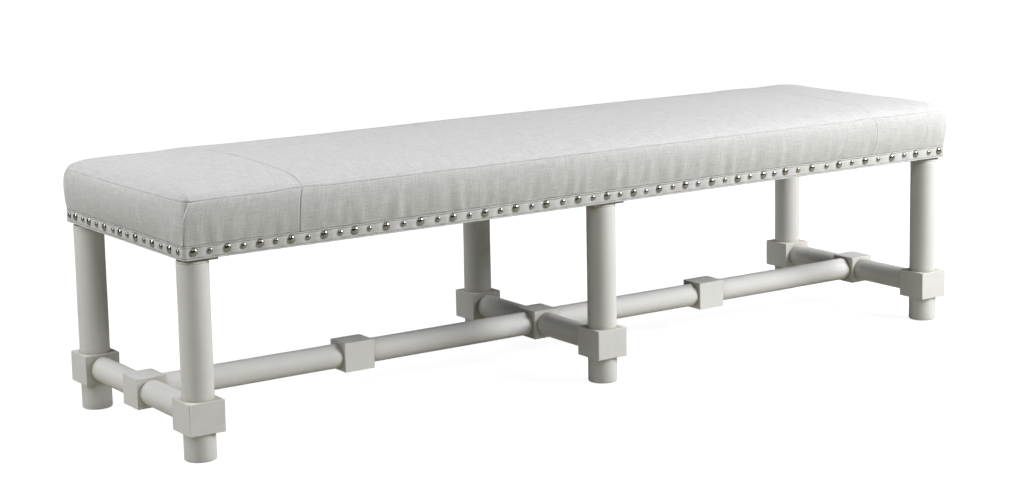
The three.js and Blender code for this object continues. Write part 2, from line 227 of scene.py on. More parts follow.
def weave_height(s, uv, pitch, angle=0.0):
    """Plain weave: warp and weft threads pass over and under each other; returns height, over/under mask."""
    p = s.place(uv, (1 / pitch, 1 / pitch, 1), (0, 0, 0), (0, 0, angle))
    xyz = s.node("ShaderNodeSeparateXYZ")
    s.put(xyz.inputs[0], p)
    u, v = xyz.outputs[0], xyz.outputs[1]
    wu = s.math("SINE", s.math("MULTIPLY", u, math.pi))
    wv = s.math("SINE", s.math("MULTIPLY", v, math.pi))
    over = s.remap(s.math("MULTIPLY", wu, wv), -0.35, 0.35)  # 1 where the warp lies on top
    ridge_u = s.math("POWER", s.math("ABSOLUTE", s.math("COSINE", s.math("MULTIPLY", u, math.pi))), 0.6)
    ridge_v = s.math("POWER", s.math("ABSOLUTE", s.math("COSINE", s.math("MULTIPLY", v, math.pi))), 0.6)
    a = s.math("MULTIPLY", over, ridge_v)
    b = s.math("MULTIPLY", s.math("SUBTRACT", 1.0, over), ridge_u)
    return s.math("ADD", a, b), over


def cover_fabric():
    """Heathered grey-white linen weave with slubs both ways."""
    s = Shader("cover_linen")
    uv = s.uv("cloth")
    height, over = weave_height(s, uv, 0.00115)
    slub_u = s.noise(s.place(uv, (26, 430, 1)), 1.0, 2.5, 0.7)
    slub_v = s.noise(s.place(uv, (430, 26, 1), (3.1, 7.7, 0)), 1.0, 2.5, 0.7)
    fleck = s.noise(s.place(uv, (300, 360, 1)), 1.0, 2.0, 0.6)
    cloud = s.noise(s.coords(), 5.0, 2.0)
    base = s.mix(s.remap(slub_u, 0.32, 0.68), (0.572, 0.576, 0.576), (0.854, 0.859, 0.858))
    cross = s.mix(s.remap(slub_v, 0.32, 0.68), (0.555, 0.562, 0.561), (0.845, 0.850, 0.846))
    colour = s.mix(s.math("ADD", 0.25, s.math("MULTIPLY", over, 0.5)), base, cross)
    colour = s.mix(s.remap(fleck, 0.54, 0.72, 0.0, 0.42), colour, (0.470, 0.476, 0.478))
    colour = s.mix(s.remap(fleck, 0.44, 0.28, 0.0, 0.30), colour, (0.869, 0.875, 0.877))
    # painted shade: the low points of the weave between threads are darkened
    colour = s.mix(s.remap(height, 0.0, 0.5, 0.30, 0.0), colour, (0.480, 0.485, 0.490))
    colour = s.mix(s.remap(cloud, 0.3, 0.7, 0.0, 0.12), colour, (0.714, 0.714, 0.704))
    # painted shade: darkened in the seams and folds, from ambient occlusion
    ao = s.occlusion(0.0045, 6)
    colour = s.mix(s.remap(ao, 0.80, 0.30, 0.0, 0.85), colour, (0.215, 0.217, 0.217))
    h = s.math("ADD", height, s.math("MULTIPLY", s.math("ADD", s.math("ADD", slub_u, slub_v), s.math("MULTIPLY", fleck, 0.8)), 1.5))
    rough = s.remap(height, 0.0, 1.0, 0.96, 0.86)
    return s.set(color=colour, rough=rough, normal=s.bump(h, 0.00042, 0.75), sheen=0.12, sheen_rough=0.45, spec=0.22)


def tape_fabric():
    """Woven cotton tape, coarser and lighter than the cover, with corded edges."""
    s = Shader("tape_cotton")
    uv = s.uv("cloth")
    height, over = weave_height(s, uv, 0.0016, math.radians(45))
    slub = s.noise(s.place(uv, (30, 420, 1)), 1.0, 2.0, 0.6)
    speck = s.noise(s.place(uv, (330, 330, 1)), 1.0, 2.0, 0.6)
    colour = s.mix(s.remap(slub, 0.3, 0.7), (0.625, 0.629, 0.629), (0.750, 0.753, 0.753))
    colour = s.mix(s.remap(speck, 0.52, 0.74, 0.0, 0.40), colour, (0.500, 0.500, 0.495))
    # painted shade: the low points of the weave between threads are darkened
    colour = s.mix(s.remap(height, 0.0, 0.5, 0.35, 0.0), colour, (0.450, 0.450, 0.444))
    # painted shade: a dark line along each stitched groove inside the corded edges
    across = s.node("ShaderNodeSeparateXYZ")
    s.put(across.inputs[0], uv)
    for v0 in TAPE_GROOVE_SHADE_AT:
        off = s.math("ABSOLUTE", s.math("SUBTRACT", across.outputs[1], v0 * MM))
        colour = s.mix(s.remap(off, 0.00035, 0.00105, 0.55, 0.0), colour, (0.330, 0.330, 0.322))
    # painted shade: darkened where the tape meets the cover and the nails, from ambient occlusion
    ao = s.occlusion(0.003, 6)
    colour = s.mix(s.remap(ao, 0.86, 0.35, 0.0, 0.85), colour, (0.215, 0.215, 0.210))
    rough = s.remap(height, 0.0, 1.0, 0.95, 0.85)
    return s.set(color=colour, rough=rough, normal=s.bump(s.math("ADD", height, slub), 0.00035, 0.6), sheen=0.10, sheen_rough=0.4, spec=0.22)


def thread():
    s = Shader("stitch_thread")
    co = s.coords()
    n = s.noise(co, 900.0, 2.0)
    colour = s.mix(s.remap(n, 0.3, 0.7), (0.66, 0.66, 0.65), (0.78, 0.78, 0.77))
    return s.set(color=colour, rough=s.remap(n, 0.2, 0.8, 0.7, 0.9), normal=s.bump(n, 0.0002, 0.4))


def nail_metal():
    """Antiqued pewter: mottled, with olive-brown patina in patches, and painted shade with some patina low on the rim,
    where it meets the tape; the dome stays brighter.
    """
    s = Shader("nail_pewter")
    co = s.coords()
    mottle = s.noise(co, 260.0, 3.0, 0.6)
    patch = s.noise(co, 90.0, 2.0, 0.5)
    colour = s.mix(s.remap(mottle, 0.35, 0.70), (0.485, 0.478, 0.455), (0.325, 0.317, 0.290))
    colour = s.mix(s.remap(patch, 0.45, 0.75, 0.0, 0.35), colour, (0.330, 0.315, 0.265))
    # painted shade with some patina: near-black where the rim meets the tape, from ambient occlusion
    ao = s.occlusion(0.004, 5)
    colour = s.mix(s.remap(ao, 0.80, 0.30, 0.0, 0.80), colour, (0.110, 0.100, 0.075))
    rough = s.remap(mottle, 0.25, 0.75, 0.12, 0.24)
    return s.set(color=colour, rough=rough, metal=1.0, normal=s.bump(mottle, 0.00018, 0.35))


def plate_steel():
    s = Shader("plate_steel")
    co = s.coords()
    brushed = s.noise(s.place(co, (30, 900, 900)), 1.0, 2.0, 0.6)
    stain = s.noise(co, 55.0, 3.0, 0.6)
    colour = s.mix(s.remap(brushed, 0.3, 0.7), (0.300, 0.295, 0.275), (0.215, 0.210, 0.195))
    colour = s.mix(s.remap(stain, 0.55, 0.75, 0.0, 0.5), colour, (0.130, 0.120, 0.100))
    rough = s.remap(brushed, 0.2, 0.8, 0.34, 0.52)
    return s.set(color=colour, rough=rough, metal=1.0, normal=s.bump(brushed, 0.0001, 0.4))


def zinc_steel():
    s = Shader("bolt_zinc")
    co = s.coords()
    spangle = s.voronoi(co, 420.0)
    n = s.noise(co, 300.0, 2.0)
    colour = s.mix(s.remap(spangle, 0.0, 0.9), (0.560, 0.560, 0.545), (0.430, 0.430, 0.420))
    return s.set(color=colour, rough=s.remap(n, 0.2, 0.8, 0.30, 0.46), metal=1.0, normal=s.bump(n, 0.0001, 0.3))


def nylon():
    s = Shader("glide_nylon")
    co = s.coords()
    n = s.noise(co, 140.0, 3.0)
    scuff = s.noise(s.place(co, (700, 60, 700)), 1.0, 2.0)
    colour = s.mix(s.remap(n, 0.3, 0.7), (0.710, 0.700, 0.660), (0.640, 0.625, 0.575))
    colour = s.mix(s.remap(scuff, 0.62, 0.8, 0.0, 0.5), colour, (0.36, 0.34, 0.30))
    return s.set(color=colour, rough=s.remap(scuff, 0.3, 0.8, 0.42, 0.62), normal=s.bump(scuff, 0.0001, 0.3), sub=0.05)


def raw_wood(name, along, dark, light):
    s = Shader(name)
    co = s.coords()
    stretch = {"x": (1.6, 26, 26), "y": (26, 1.6, 26)}[along]
    p = s.place(co, stretch)
    warp = s.noise(p, 1.0, 3.0, 0.55, 0.6)
    rings = s.math("SINE", s.math("MULTIPLY", warp, 46.0))
    pores = s.noise(s.place(co, {"x": (40, 900, 900), "y": (900, 40, 900)}[along]), 1.0, 2.0)
    colour = s.mix(s.remap(rings, -1.0, 1.0), dark, light)
    colour = s.mix(s.remap(pores, 0.58, 0.75, 0.0, 0.5), colour, tuple(0.6 * c for c in dark))
    h = s.math("ADD", s.math("MULTIPLY", rings, 0.3), pores)
    return s.set(color=colour, rough=s.remap(pores, 0.2, 0.8, 0.66, 0.85), normal=s.bump(h, 0.0003, 0.5))


def dust_cloth():
    s = Shader("dust_cloth")
    uv = s.uv("cloth")
    height, _ = weave_height(s, uv, 0.0013)
    fibre = s.noise(s.place(uv, (60, 60, 1)), 1.0, 4.0, 0.7, 1.2)
    colour = s.mix(s.remap(fibre, 0.3, 0.7), (0.022, 0.022, 0.024), (0.046, 0.046, 0.048))
    return s.set(color=colour, rough=s.remap(height, 0.0, 1.0, 0.95, 0.82), normal=s.bump(height, 0.0003, 0.5), sheen=0.15, sheen_rough=0.5)


PAINT = {k: painted_wood("antique_white_" + k, k) for k in ("y", "z", "block")}
# painted light: the long bars and the joint blocks under the seat get lighter copies of the paint (1.14 and 1.16), on
# parts that the seat shades
PAINT["x"] = painted_wood("antique_white_x", "x", 1.14)
PAINT["joint"] = painted_wood("antique_white_joint_painted_light", "block", 1.16)
LINEN, TAPE, THREAD, NAIL = cover_fabric(), tape_fabric(), thread(), nail_metal()
STEEL, ZINC, NYLON, CAMBRIC = plate_steel(), zinc_steel(), nylon(), dust_cloth()
RAIL_X = raw_wood("rail_birch_x", "x", (0.400, 0.270, 0.150), (0.590, 0.440, 0.270))
RAIL_Y = raw_wood("rail_birch_y", "y", (0.400, 0.270, 0.150), (0.590, 0.440, 0.270))
PLY = raw_wood("plywood_face", "x", (0.460, 0.320, 0.180), (0.640, 0.490, 0.310))


# ---------------------------------------------------------------- mesh helpers
def new_object(name, verts_mm, faces, material, smooth=True, angle=32.0, uv=None):
    me = bpy.data.meshes.new(name)
    me.from_pydata((np.asarray(verts_mm, float) * MM).tolist(), [], faces)
    me.materials.append(material)
    if uv is not None:
        layer = me.uv_layers.new(name="cloth")
        layer.data.foreach_set("uv", np.asarray(uv, np.float32).ravel())
    ob = bpy.data.objects.new(name, me)
    bpy.context.scene.collection.objects.link(ob)
    if smooth:
        me.shade_smooth()
        me.set_sharp_from_angle(angle=math.radians(angle))
    return ob


def lathe_mesh(profile, segs, axis="z", centre=(0.0, 0.0)):
    """Closed solid of revolution through [radius, station] points, both ends on the axis."""
    verts, rings = [], []
    for r, t in profile:
        if r <= 1e-9:
            rings.append([len(verts)])
            verts.append((0.0, 0.0, t))
        else:
            rings.append(list(range(len(verts), len(verts) + segs)))
            for i in range(segs):
                a = 2 * math.pi * i / segs
                verts.append((r * math.cos(a), r * math.sin(a), t))
    faces = []
    for A, B in zip(rings, rings[1:]):
        for i in range(segs):
            j = (i + 1) % segs
            if len(A) == 1 and len(B) == 1:
                continue
            if len(A) == 1:
                faces.append((A[0], B[j], B[i]))
            elif len(B) == 1:
                faces.append((A[i], A[j], B[0]))
            else:
                faces.append((A[i], A[j], B[j], B[i]))
    v = np.array(verts)
    if axis == "x":  # cyclic turn keeps the handedness: z -> x
        v = np.stack([v[:, 2], v[:, 0] + centre[0], v[:, 1] + centre[1]], 1)
    elif axis == "y":
        v = np.stack([v[:, 1] + centre[0], v[:, 2], v[:, 0] + centre[1]], 1)
    else:
        v = v + np.array([centre[0], centre[1], 0.0])
    return v, faces


def cut(ob, cutters, angle=32.0, weighted=False):
    """Cut solids out of ob for good, and put its shading back."""
    for c in cutters:
        m = ob.modifiers.new("cut", "BOOLEAN")
        m.operation, m.solver, m.object = "DIFFERENCE", "EXACT", c
    bake(ob)
    for c in cutters:
        me = c.data
        bpy.data.objects.remove(c)
        bpy.data.meshes.remove(me)
    finish_shading(ob, angle, weighted)


def bake(ob):
    dg = bpy.context.evaluated_depsgraph_get()
    me = bpy.data.meshes.new_from_object(ob.evaluated_get(dg))
    ob.modifiers.clear()
    old = ob.data
    ob.data = me
    me.name = ob.name
    bpy.data.meshes.remove(old)


def finish_shading(ob, angle=32.0, weighted=False):
    me = ob.data
    me.shade_smooth()
    me.set_sharp_from_angle(angle=math.radians(angle))
    if weighted:
        m = ob.modifiers.new("weighted", "WEIGHTED_NORMAL")
        m.keep_sharp, m.weight, m.mode = True, 100, "FACE_AREA"
        bake(ob)


def hole(profile, axis, centre, segs):
    v, f = lathe_mesh(profile, segs, axis, centre)
    return new_object("cutter", v, f, PAINT["block"], smooth=False)


def adopt(ob, slot, *nodes):
    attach(ob, "root")
    if nodes:
        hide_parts(*nodes)
    return ob


# ---------------------------------------------------------------- base: posts, blocks, stretchers
def mortise(x, sy, grow=0.3):
    inner = sy * (LEG_Y - (BLOCK_W / 2 - 27 - 0.8))
    face = sy * (LEG_Y - (BLOCK_W / 2 + 2))
    a, b = min(inner, face), max(inner, face)
    return hole([(0, a), (TENON_R + grow, a), (TENON_R + grow, b), (0, b)], "y", (x, BLOCK_Z), 32)


def post_profile(k):
    r = LEG_R
    p = [(0, 17), (2.8, 17), (2.8, 4.8), (12.5, 4.8), (12.5, 0.8), (r - 2.6, 0.8)]
    p += [(r - 2.6 + 2.6 * math.sin(math.radians(t)), 3.4 - 2.6 * math.cos(math.radians(t))) for t in (22, 45, 68)]
    p += [(r, 3.4), (r, 20), (r, 36), (r, 52.5), (r, 112.5)]
    # turned by hand: the bar is never quite even
    for z in range(128, 352, 16):
        p.append((r - 0.12 - 0.12 * math.sin(z * 0.031 + k), z))
    p += [(r, 352), (r, 359.6), (r - 0.25, 360.2), (r - 0.85, 360.7), (r - 0.85, 361.3), (r - 0.25, 361.8), (r - 0.1, 362.4)]
    p += [(r - 0.15, 363.6), (r - 0.55, 364.5), (r - 1.3, 365.0), (5.3, 365.0), (5.3, 315.0), (0, 315.0)]
    return p


def rounded_block(name, w, d, h, x, y, z, seed, paint="block"):
    rng = np.random.default_rng(seed)
    bm = bmesh.new()
    bmesh.ops.create_cube(bm, size=1.0)
    for v in bm.verts:
        j = rng.normal(0, 0.12, 3)
        v.co = Vector((x + v.co.x * w + j[0], y + v.co.y * d + j[1], z + v.co.z * h + j[2])) * MM
    bmesh.ops.bevel(bm, geom=bm.edges[:], offset=1.15 * MM, segments=3, profile=0.5, affect="EDGES")
    me = bpy.data.meshes.new(name)
    bm.to_mesh(me)
    bm.free()
    me.materials.append(PAINT[paint])
    ob = bpy.data.objects.new(name, me)
    bpy.context.scene.collection.objects.link(ob)
    return ob


def bore(r, a, b, axis, centre, segs=32, ease=0.5):
    """Hole cutter from a to b; ease opens its mouths a little."""
    return hole([(0, a - 4), (r + ease, a - 4), (r + ease, a), (r, a + ease), (r, b - ease), (r + ease, b), (r + ease, b + 4), (0, b + 4)], axis, centre, segs)


for k, (where, sx, sy) in enumerate(LEGS):
    x, y = sx * LEG_X, sy * LEG_Y
    v, f = lathe_mesh(post_profile(k * 1.7), 72, "z", (x, y))
    post = new_object("post_" + where, v, f, PAINT["z"])
    cut(post, [mortise(x, sy)])
    adopt(post, "painted_wood", "leg_post_" + where)

    block = rounded_block("collar_block_" + where, BLOCK_W, BLOCK_W, BLOCK_H, x, y, BLOCK_Z, 100 + k)
    z0, z1 = BLOCK_Z - BLOCK_H / 2, BLOCK_Z + BLOCK_H / 2
    cut(block, [bore(LEG_R + 0.22, z0, z1, "z", (x, y), 72, 0.35), mortise(x, sy)], 40, True)
    adopt(block, "painted_wood", "leg_block_" + where)


def bar(name, axis, a, b, ta, tb, centre, node, seed):
    """Turned stretcher with a tenon at each end; the shoulders are eased."""
    r, e = STRETCHER_R, 0.7
    p = [(0, a - ta), (TENON_R - 0.8, a - ta), (TENON_R, a - ta + 0.8), (TENON_R, a), (r - e, a), (r - 0.2, a + 0.25), (r, a + e)]
    n = max(3, int((b - a) / 24))
    for i in range(1, n):
        t = a + (b - a) * i / n
        p.append((r - 0.1 - 0.1 * math.sin(t * 0.021 + seed), t))
    p += [(r, b - e), (r - 0.2, b - 0.25), (r - e, b), (TENON_R, b), (TENON_R, b + tb - 0.8), (TENON_R - 0.8, b + tb), (0, b + tb)]
    v, f = lathe_mesh(p, 64, axis, centre)
    # bars along x take the lighter copy of the paint: painted light under the seat
    ob = new_object(name, v, f, PAINT[axis])
    return adopt(ob, "painted_wood", node)


cbw, cbd, cbh = CENTRE_BLOCK
mbw, mbd, mbh = MID_BLOCK
for k, (where, sx) in enumerate((("left", -1), ("middle", 0), ("right", 1))):
    x = sx * LEG_X
    y0, y1 = LEG_Y - BLOCK_W / 2 - 0.3, cbd / 2 + 0.3
    bar("cross_bar_%s_front" % where, "y", -y0, -y1, 27, 20, (x, BLOCK_Z), "cross_stretcher_%s_front" % where, k)
    bar("cross_bar_%s_back" % where, "y", y1, y0, 20, 27, (x, BLOCK_Z), "cross_stretcher_%s_back" % where, k + 4)
    ob = rounded_block("centre_joint_" + where, cbw, cbd, cbh, x, 0, BLOCK_Z, 200 + k)
    r = TENON_R + 0.3
    cutters = [
        hole([(0, -cbd / 2 - 5), (r, -cbd / 2 - 5), (r, -cbd / 2 + 20.8), (0, -cbd / 2 + 20.8)], "y", (x, BLOCK_Z), 32),
        hole([(0, cbd / 2 - 20.8), (r, cbd / 2 - 20.8), (r, cbd / 2 + 5), (0, cbd / 2 + 5)], "y", (x, BLOCK_Z), 32),
    ]
    if sx >= 0:
        a, b = x - cbw / 2 - 5, x - cbw / 2 + 19.3
        cutters.append(hole([(0, a), (r, a), (r, b), (0, b)], "x", (0, BLOCK_Z), 32))
    if sx <= 0:
        a, b = x + cbw / 2 - 19.3, x + cbw / 2 + 5
        cutters.append(hole([(0, a), (r, a), (r, b), (0, b)], "x", (0, BLOCK_Z), 32))
    cut(ob, cutters, 40, True)
    adopt(ob, "painted_wood", "centre_block_" + where)

lt, inx, mx = 18.5, cbw / 2 + 0.3, mbw / 2 + 0.3
bar("long_bar_1", "x", -LEG_X + inx, -MID_BLOCK_X - mx, lt, 20, (0, BLOCK_Z), "long_stretcher_1_left_end", 1)
bar("long_bar_2", "x", -MID_BLOCK_X + mx, -inx, 20, lt, (0, BLOCK_Z), "long_stretcher_2_left_inner", 2)
bar("long_bar_3", "x", inx, MID_BLOCK_X - mx, lt, 20, (0, BLOCK_Z), "long_stretcher_3_right_inner", 3)
bar("long_bar_4", "x", MID_BLOCK_X + mx, LEG_X - inx, 20, lt, (0, BLOCK_Z), "long_stretcher_4_right_end", 4)
for k, (where, sx) in enumerate((("left", -1), ("right", 1))):
    x = sx * MID_BLOCK_X
    r = TENON_R + 0.3
    # the joint blocks take the lighter copy of the paint: painted light under the seat
    ob = rounded_block("long_joint_" + where, mbw, mbd, mbh, x, 0, BLOCK_Z, 300 + k, "joint")
    cut(
        ob,
        [
            hole([(0, x - mbw / 2 - 5), (r, x - mbw / 2 - 5), (r, x - mbw / 2 + 20.8), (0, x - mbw / 2 + 20.8)], "x", (0, BLOCK_Z), 32),
            hole([(0, x + mbw / 2 - 20.8), (r, x + mbw / 2 - 20.8), (r, x + mbw / 2 + 5), (0, x + mbw / 2 + 5)], "x", (0, BLOCK_Z), 32),
        ],
        40,
        True,
    )
    adopt(ob, "painted_wood", "stretcher_block_" + where)


# ---------------------------------------------------------------- leg plates, screws, glides
PLATE_OUT, PLATE_END, PLATE_IN, PLATE_Z0, PLATE_T = 27.5, 18.5, 38.5, 365.3, 3.0
screw_v, screw_f = [], []
for where, sx, sy in LEGS:
    x, y = sx * LEG_X, sy * LEG_Y
    px0 = -PLATE_IN if sx == 0 else (x - PLATE_IN if sx > 0 else x - PLATE_END)
    px1 = PLATE_IN if sx == 0 else (x + PLATE_END if sx > 0 else x + PLATE_IN)
    py0 = y - PLATE_IN if sy > 0 else y - PLATE_OUT
    py1 = y + PLATE_OUT if sy > 0 else y + PLATE_IN
    bm = bmesh.new()
    bmesh.ops.create_cube(bm, size=1.0)
    for v in bm.verts:
        v.co = Vector((px0 if v.co.x < 0 else px1, py0 if v.co.y < 0 else py1, PLATE_Z0 if v.co.z < 0 else PLATE_Z0 + PLATE_T)) * MM
    upright = [e for e in bm.edges if abs(e.verts[0].co.z - e.verts[1].co.z) > 1e-5]
    bmesh.ops.bevel(bm, geom=upright, offset=3 * MM, segments=4, profile=0.5, affect="EDGES")
    flat = [e for e in bm.edges if abs(e.verts[0].co.z - e.verts[1].co.z) < 1e-6 and len([q for q in e.link_faces if abs(q.normal.z) > 0.9]) == 1]
    bmesh.ops.bevel(bm, geom=flat, offset=0.35 * MM, segments=2, profile=0.5, affect="EDGES")
    me = bpy.data.meshes.new("plate_" + where)
    bm.to_mesh(me)
    bm.free()
    me.materials.append(STEEL)
    ob = bpy.data.objects.new("plate_" + where, me)
    bpy.context.scene.collection.objects.link(ob)
    zt = PLATE_Z0 + PLATE_T
    cutters = [hole([(0, PLATE_Z0 - 3), (5.3, PLATE_Z0 - 3), (5.3, zt + 3), (0, zt + 3)], "z", (x, y), 24)]
    for hx, hy in ((px0 + 7, py0 + 7), (px1 - 7, py0 + 7), (px1 - 7, py1 - 7), (px0 + 7, py1 - 7)):
        cutters.append(hole([(0, PLATE_Z0 - 1), (5.2, PLATE_Z0 - 1), (4.2, PLATE_Z0), (2.4, PLATE_Z0 + 1.9), (2.4, zt + 3), (0, zt + 3)], "z", (hx, hy), 20))
        v, f = lathe_mesh([(0, 366.1), (0.9, 366.1), (1.3, 365.45), (3.55, 365.45), (3.85, 365.6), (2.15, 367.2), (1.9, 368.4), (1.7, 389.0), (0, 392.0)], 16, "z", (hx, hy))
        screw_f += [tuple(i + len(screw_v) for i in q) for q in f]
        screw_v += v.tolist()
    cut(ob, cutters, 32, True)
    adopt(ob, "plate_steel", "leg_plate_" + where)
adopt(new_object("plate_screws", screw_v, screw_f, ZINC), "plate_steel")


def reslot(node, material):
    ob = NODES[node]
    for s in ob.material_slots:
        s.material = material


for where, _, _ in LEGS:
    reslot("leg_bolt_" + where, ZINC)
for k, (where, sx, sy) in enumerate(LEGS):
    prof = [(0, 0), (10.6, 0), (11.5, 0.25), (12.0, 0.9), (12.2, 1.8), (12.1, 4.5), (2.5, 4.5), (2.5, 15.2), (0, 16.0)]
    v, f = lathe_mesh(prof, 40, "z", (sx * LEG_X, sy * LEG_Y))
    adopt(new_object("glide_pad_" + where, v, f, NYLON), "nylon", "glide_" + where)
for n, m in (("seat_rail_front", RAIL_X), ("seat_rail_back", RAIL_X), ("seat_rail_left_end", RAIL_Y), ("seat_rail_right_end", RAIL_Y), ("seat_cross_rail_left", RAIL_Y), ("seat_cross_rail_middle", RAIL_Y), ("seat_cross_rail_right", RAIL_Y), ("seat_deck", PLY)):
    reslot(n, m)


# ---------------------------------------------------------------- curves
def pchip(xs, ys, q):
    """Monotone cubic through the points, as a smooth profile."""
    xs, ys, q = np.asarray(xs, float), np.asarray(ys, float), np.asarray(q, float)
    h, d = np.diff(xs), np.diff(ys) / np.diff(xs)
    m = np.zeros_like(xs)
    m[0], m[-1] = d[0], d[-1]
    for i in range(1, len(xs) - 1):
        if d[i - 1] * d[i] > 0:
            w1, w2 = 2 * h[i] + h[i - 1], h[i] + 2 * h[i - 1]
            m[i] = (w1 + w2) / (w1 / d[i - 1] + w2 / d[i])
    k = np.clip(np.searchsorted(xs, q) - 1, 0, len(h) - 1)
    t = np.clip((q - xs[k]) / h[k], 0, 1)
    return (2 * t**3 - 3 * t**2 + 1) * ys[k] + (t**3 - 2 * t**2 + t) * h[k] * m[k] + (3 * t**2 - 2 * t**3) * ys[k + 1] + (t**3 - t**2) * h[k] * m[k + 1]


def stations(lo, hi, step, dense=(), offsets=(), ends=()):
    """Sorted stations: an even run, extra lines near the ends and either side of each dense line."""
    keep = set()
    for c in dense:
        for o in offsets:
            keep.add(round(c + o, 3))
            keep.add(round(c - o, 3))
    for o in ends:
        keep.add(round(lo + o, 3))
        keep.add(round(hi - o, 3))
    fixed = sorted(v for v in keep if lo - 1e-6 <= v <= hi + 1e-6)
    out = []
    for a, b in zip(fixed, fixed[1:]):
        n = max(1, int(round((b - a) / step)))
        out += [a + (b - a) * i / n for i in range(n)]
    return np.array(out + [fixed[-1]])


def wobble(s, total, seed, waves, amp):
    """Smooth periodic variation along the perimeter."""
    rng = np.random.default_rng(seed)
    out = np.zeros_like(s)
    for w in waves:
        n = max(1, round(total / (w * rng.uniform(0.85, 1.15))))
        out += rng.uniform(0.4, 1.0) * np.sin(2 * np.pi * n * s / total + rng.uniform(0, 6.28))
    return out * amp / max(1, len(waves)) ** 0.5


# ---------------------------------------------------------------- cushion
HX, HY, RC = SEAT_L / 2 + 7.8, SEAT_D / 2 + 7.8, 18.0
HIDDEN = [(-1.9, 392.5), (-1.9, 384.0), (-1.9, 376.0), (-1.9, 370.6), (-2.3, 369.9), (-3.4, 369.7), (-20.9, 369.7), (-21.9, 370.2), (-20.9, 370.7), (-3.45, 370.7), (-3.45, 380.0), (-3.45, 396.0), (-3.45, 409.6)]


class Skin:
    """The cushion's closed skin as one grid for the top and rings for the sides."""

    def __init__(self, X, Y, levels):
        self.X, self.Y = X, Y
        self.n, self.m = len(X), len(Y)
        n, m = self.n, self.m
        i = [*range(n), *([n - 1] * (m - 2)), *range(n - 1, -1, -1), *([0] * (m - 2))]
        j = [*([0] * n), *range(1, m - 1), *([m - 1] * n), *range(m - 2, 0, -1)]
        self.ri, self.rj = np.array(i), np.array(j)
        self.B = len(i)
        # param around the perimeter, 0..4
        t = np.zeros(self.B)
        side = np.array([0] * n + [1] * (m - 2) + [2] * n + [3] * (m - 2))
        gx, gy = X[self.ri], Y[self.rj]
        t[side == 0] = (gx[side == 0] + HX) / (2 * HX)
        t[side == 1] = 1 + (gy[side == 1] + HY) / (2 * HY)
        t[side == 2] = 2 + (HX - gx[side == 2]) / (2 * HX)
        t[side == 3] = 3 + (HY - gy[side == 3]) / (2 * HY)
        self.t = t
        self.levels = levels  # list of (stand-off, z)
        GX, GY = np.meshgrid(X, Y, indexing="ij")
        a = np.clip((np.abs(GX) - (HX - RC)) / RC, 0, 1)
        b = np.clip((np.abs(GY) - (HY - RC)) / RC, 0, 1)
        ax, by = a * np.sqrt(1 - b * b / 2), b * np.sqrt(1 - a * a / 2)
        self.px = np.where(a > 0, np.sign(GX) * (HX - RC + ax * RC), GX)
        self.py = np.where(b > 0, np.sign(GY) * (HY - RC + by * RC), GY)
        dx, dy = HX - np.abs(GX), HY - np.abs(GY)
        p = 2.6
        with np.errstate(divide="ignore"):
            d = np.where((dx < 1e-9) | (dy < 1e-9), 0.0, (np.maximum(dx, 1e-9) ** -p + np.maximum(dy, 1e-9) ** -p) ** (-1 / p))
        self.d = d
        self.GX, self.GY, self.dx, self.dy = GX, GY, dx, dy
        # ring normals and directions
        ra, rb = a[self.ri, self.rj], b[self.ri, self.rj]
        corner = (ra > 0) & (rb > 0)
        cx = ra * np.sqrt(1 - rb * rb / 2)
        cy = rb * np.sqrt(1 - ra * ra / 2)
        nx = np.where(corner, np.sign(gx) * cx, np.where(side % 2 == 1, np.sign(gx), 0.0))
        ny = np.where(corner, np.sign(gy) * cy, np.where(side % 2 == 0, np.sign(gy), 0.0))
        ln = np.hypot(nx, ny)
        self.nx, self.ny = nx / ln, ny / ln
        self.corner = corner | (ln < 1e-9)
        self.sx = np.clip(gx, -(HX - RC), HX - RC) / (HX - RC)
        self.sy = np.clip(gy, -(HY - RC), HY - RC) / (HY - RC)
        self.arc = None

    def ring(self, off, r):
        """Points of the rounded outline with its flats at the seat's plane + off and corner radius r."""
        hx, hy = SEAT_L / 2 + off, SEAT_D / 2 + off
        x = self.sx * (hx - r) + self.nx * r
        y = self.sy * (hy - r) + self.ny * r
        return x, y


def corner_radius(z):
    """The corners are sharper at the tape than at the top seam."""
    return float(np.interp(z, [369, 395, 410, 430, 452, 475], [5.0, 6.0, 8.5, 11.5, 14.5, RC]))


def corner_off(z):
    """How far the upright corner seam stands off the seat's plane."""
    return float(np.interp(z, [399, 415, 434, 453, 466, 475], [0.6, 0.2, -0.6, -2.0, -3.8, -5.0]))


def swell(t):
    """How much of the full bulge the sides show at perimeter parameter t: the corners are drawn in tight."""
    k, u = np.floor(t).astype(int) % 4, t - np.floor(t)
    ln = np.where(k % 2 == 0, 2 * HX, 2 * HY)
    near = np.minimum(u, 1 - u) * ln
    return 1 - np.exp(-near / np.where(k % 2 == 0, 36.0, 75.0))


def corner_pull(gx, gy, low=False):
    """How tightly the nearest corner is drawn in along x and along y, at the seam or lower down (low)."""
    a, b = 0.5 + 0.5 * np.tanh(gx / 200.0), 0.5 + 0.5 * np.tanh(gy / 70.0)
    blend = lambda fl, bl, fr, br: (1 - a) * ((1 - b) * fl + b * bl) + a * ((1 - b) * fr + b * br)
    if low:
        return blend(1.10, 0.76, 0.86, 0.82), blend(0.55, 0.74, 0.80, 0.80)
    return blend(1.15, 0.52, 0.55, 0.55), blend(0.42, 0.52, 0.45, 0.50)


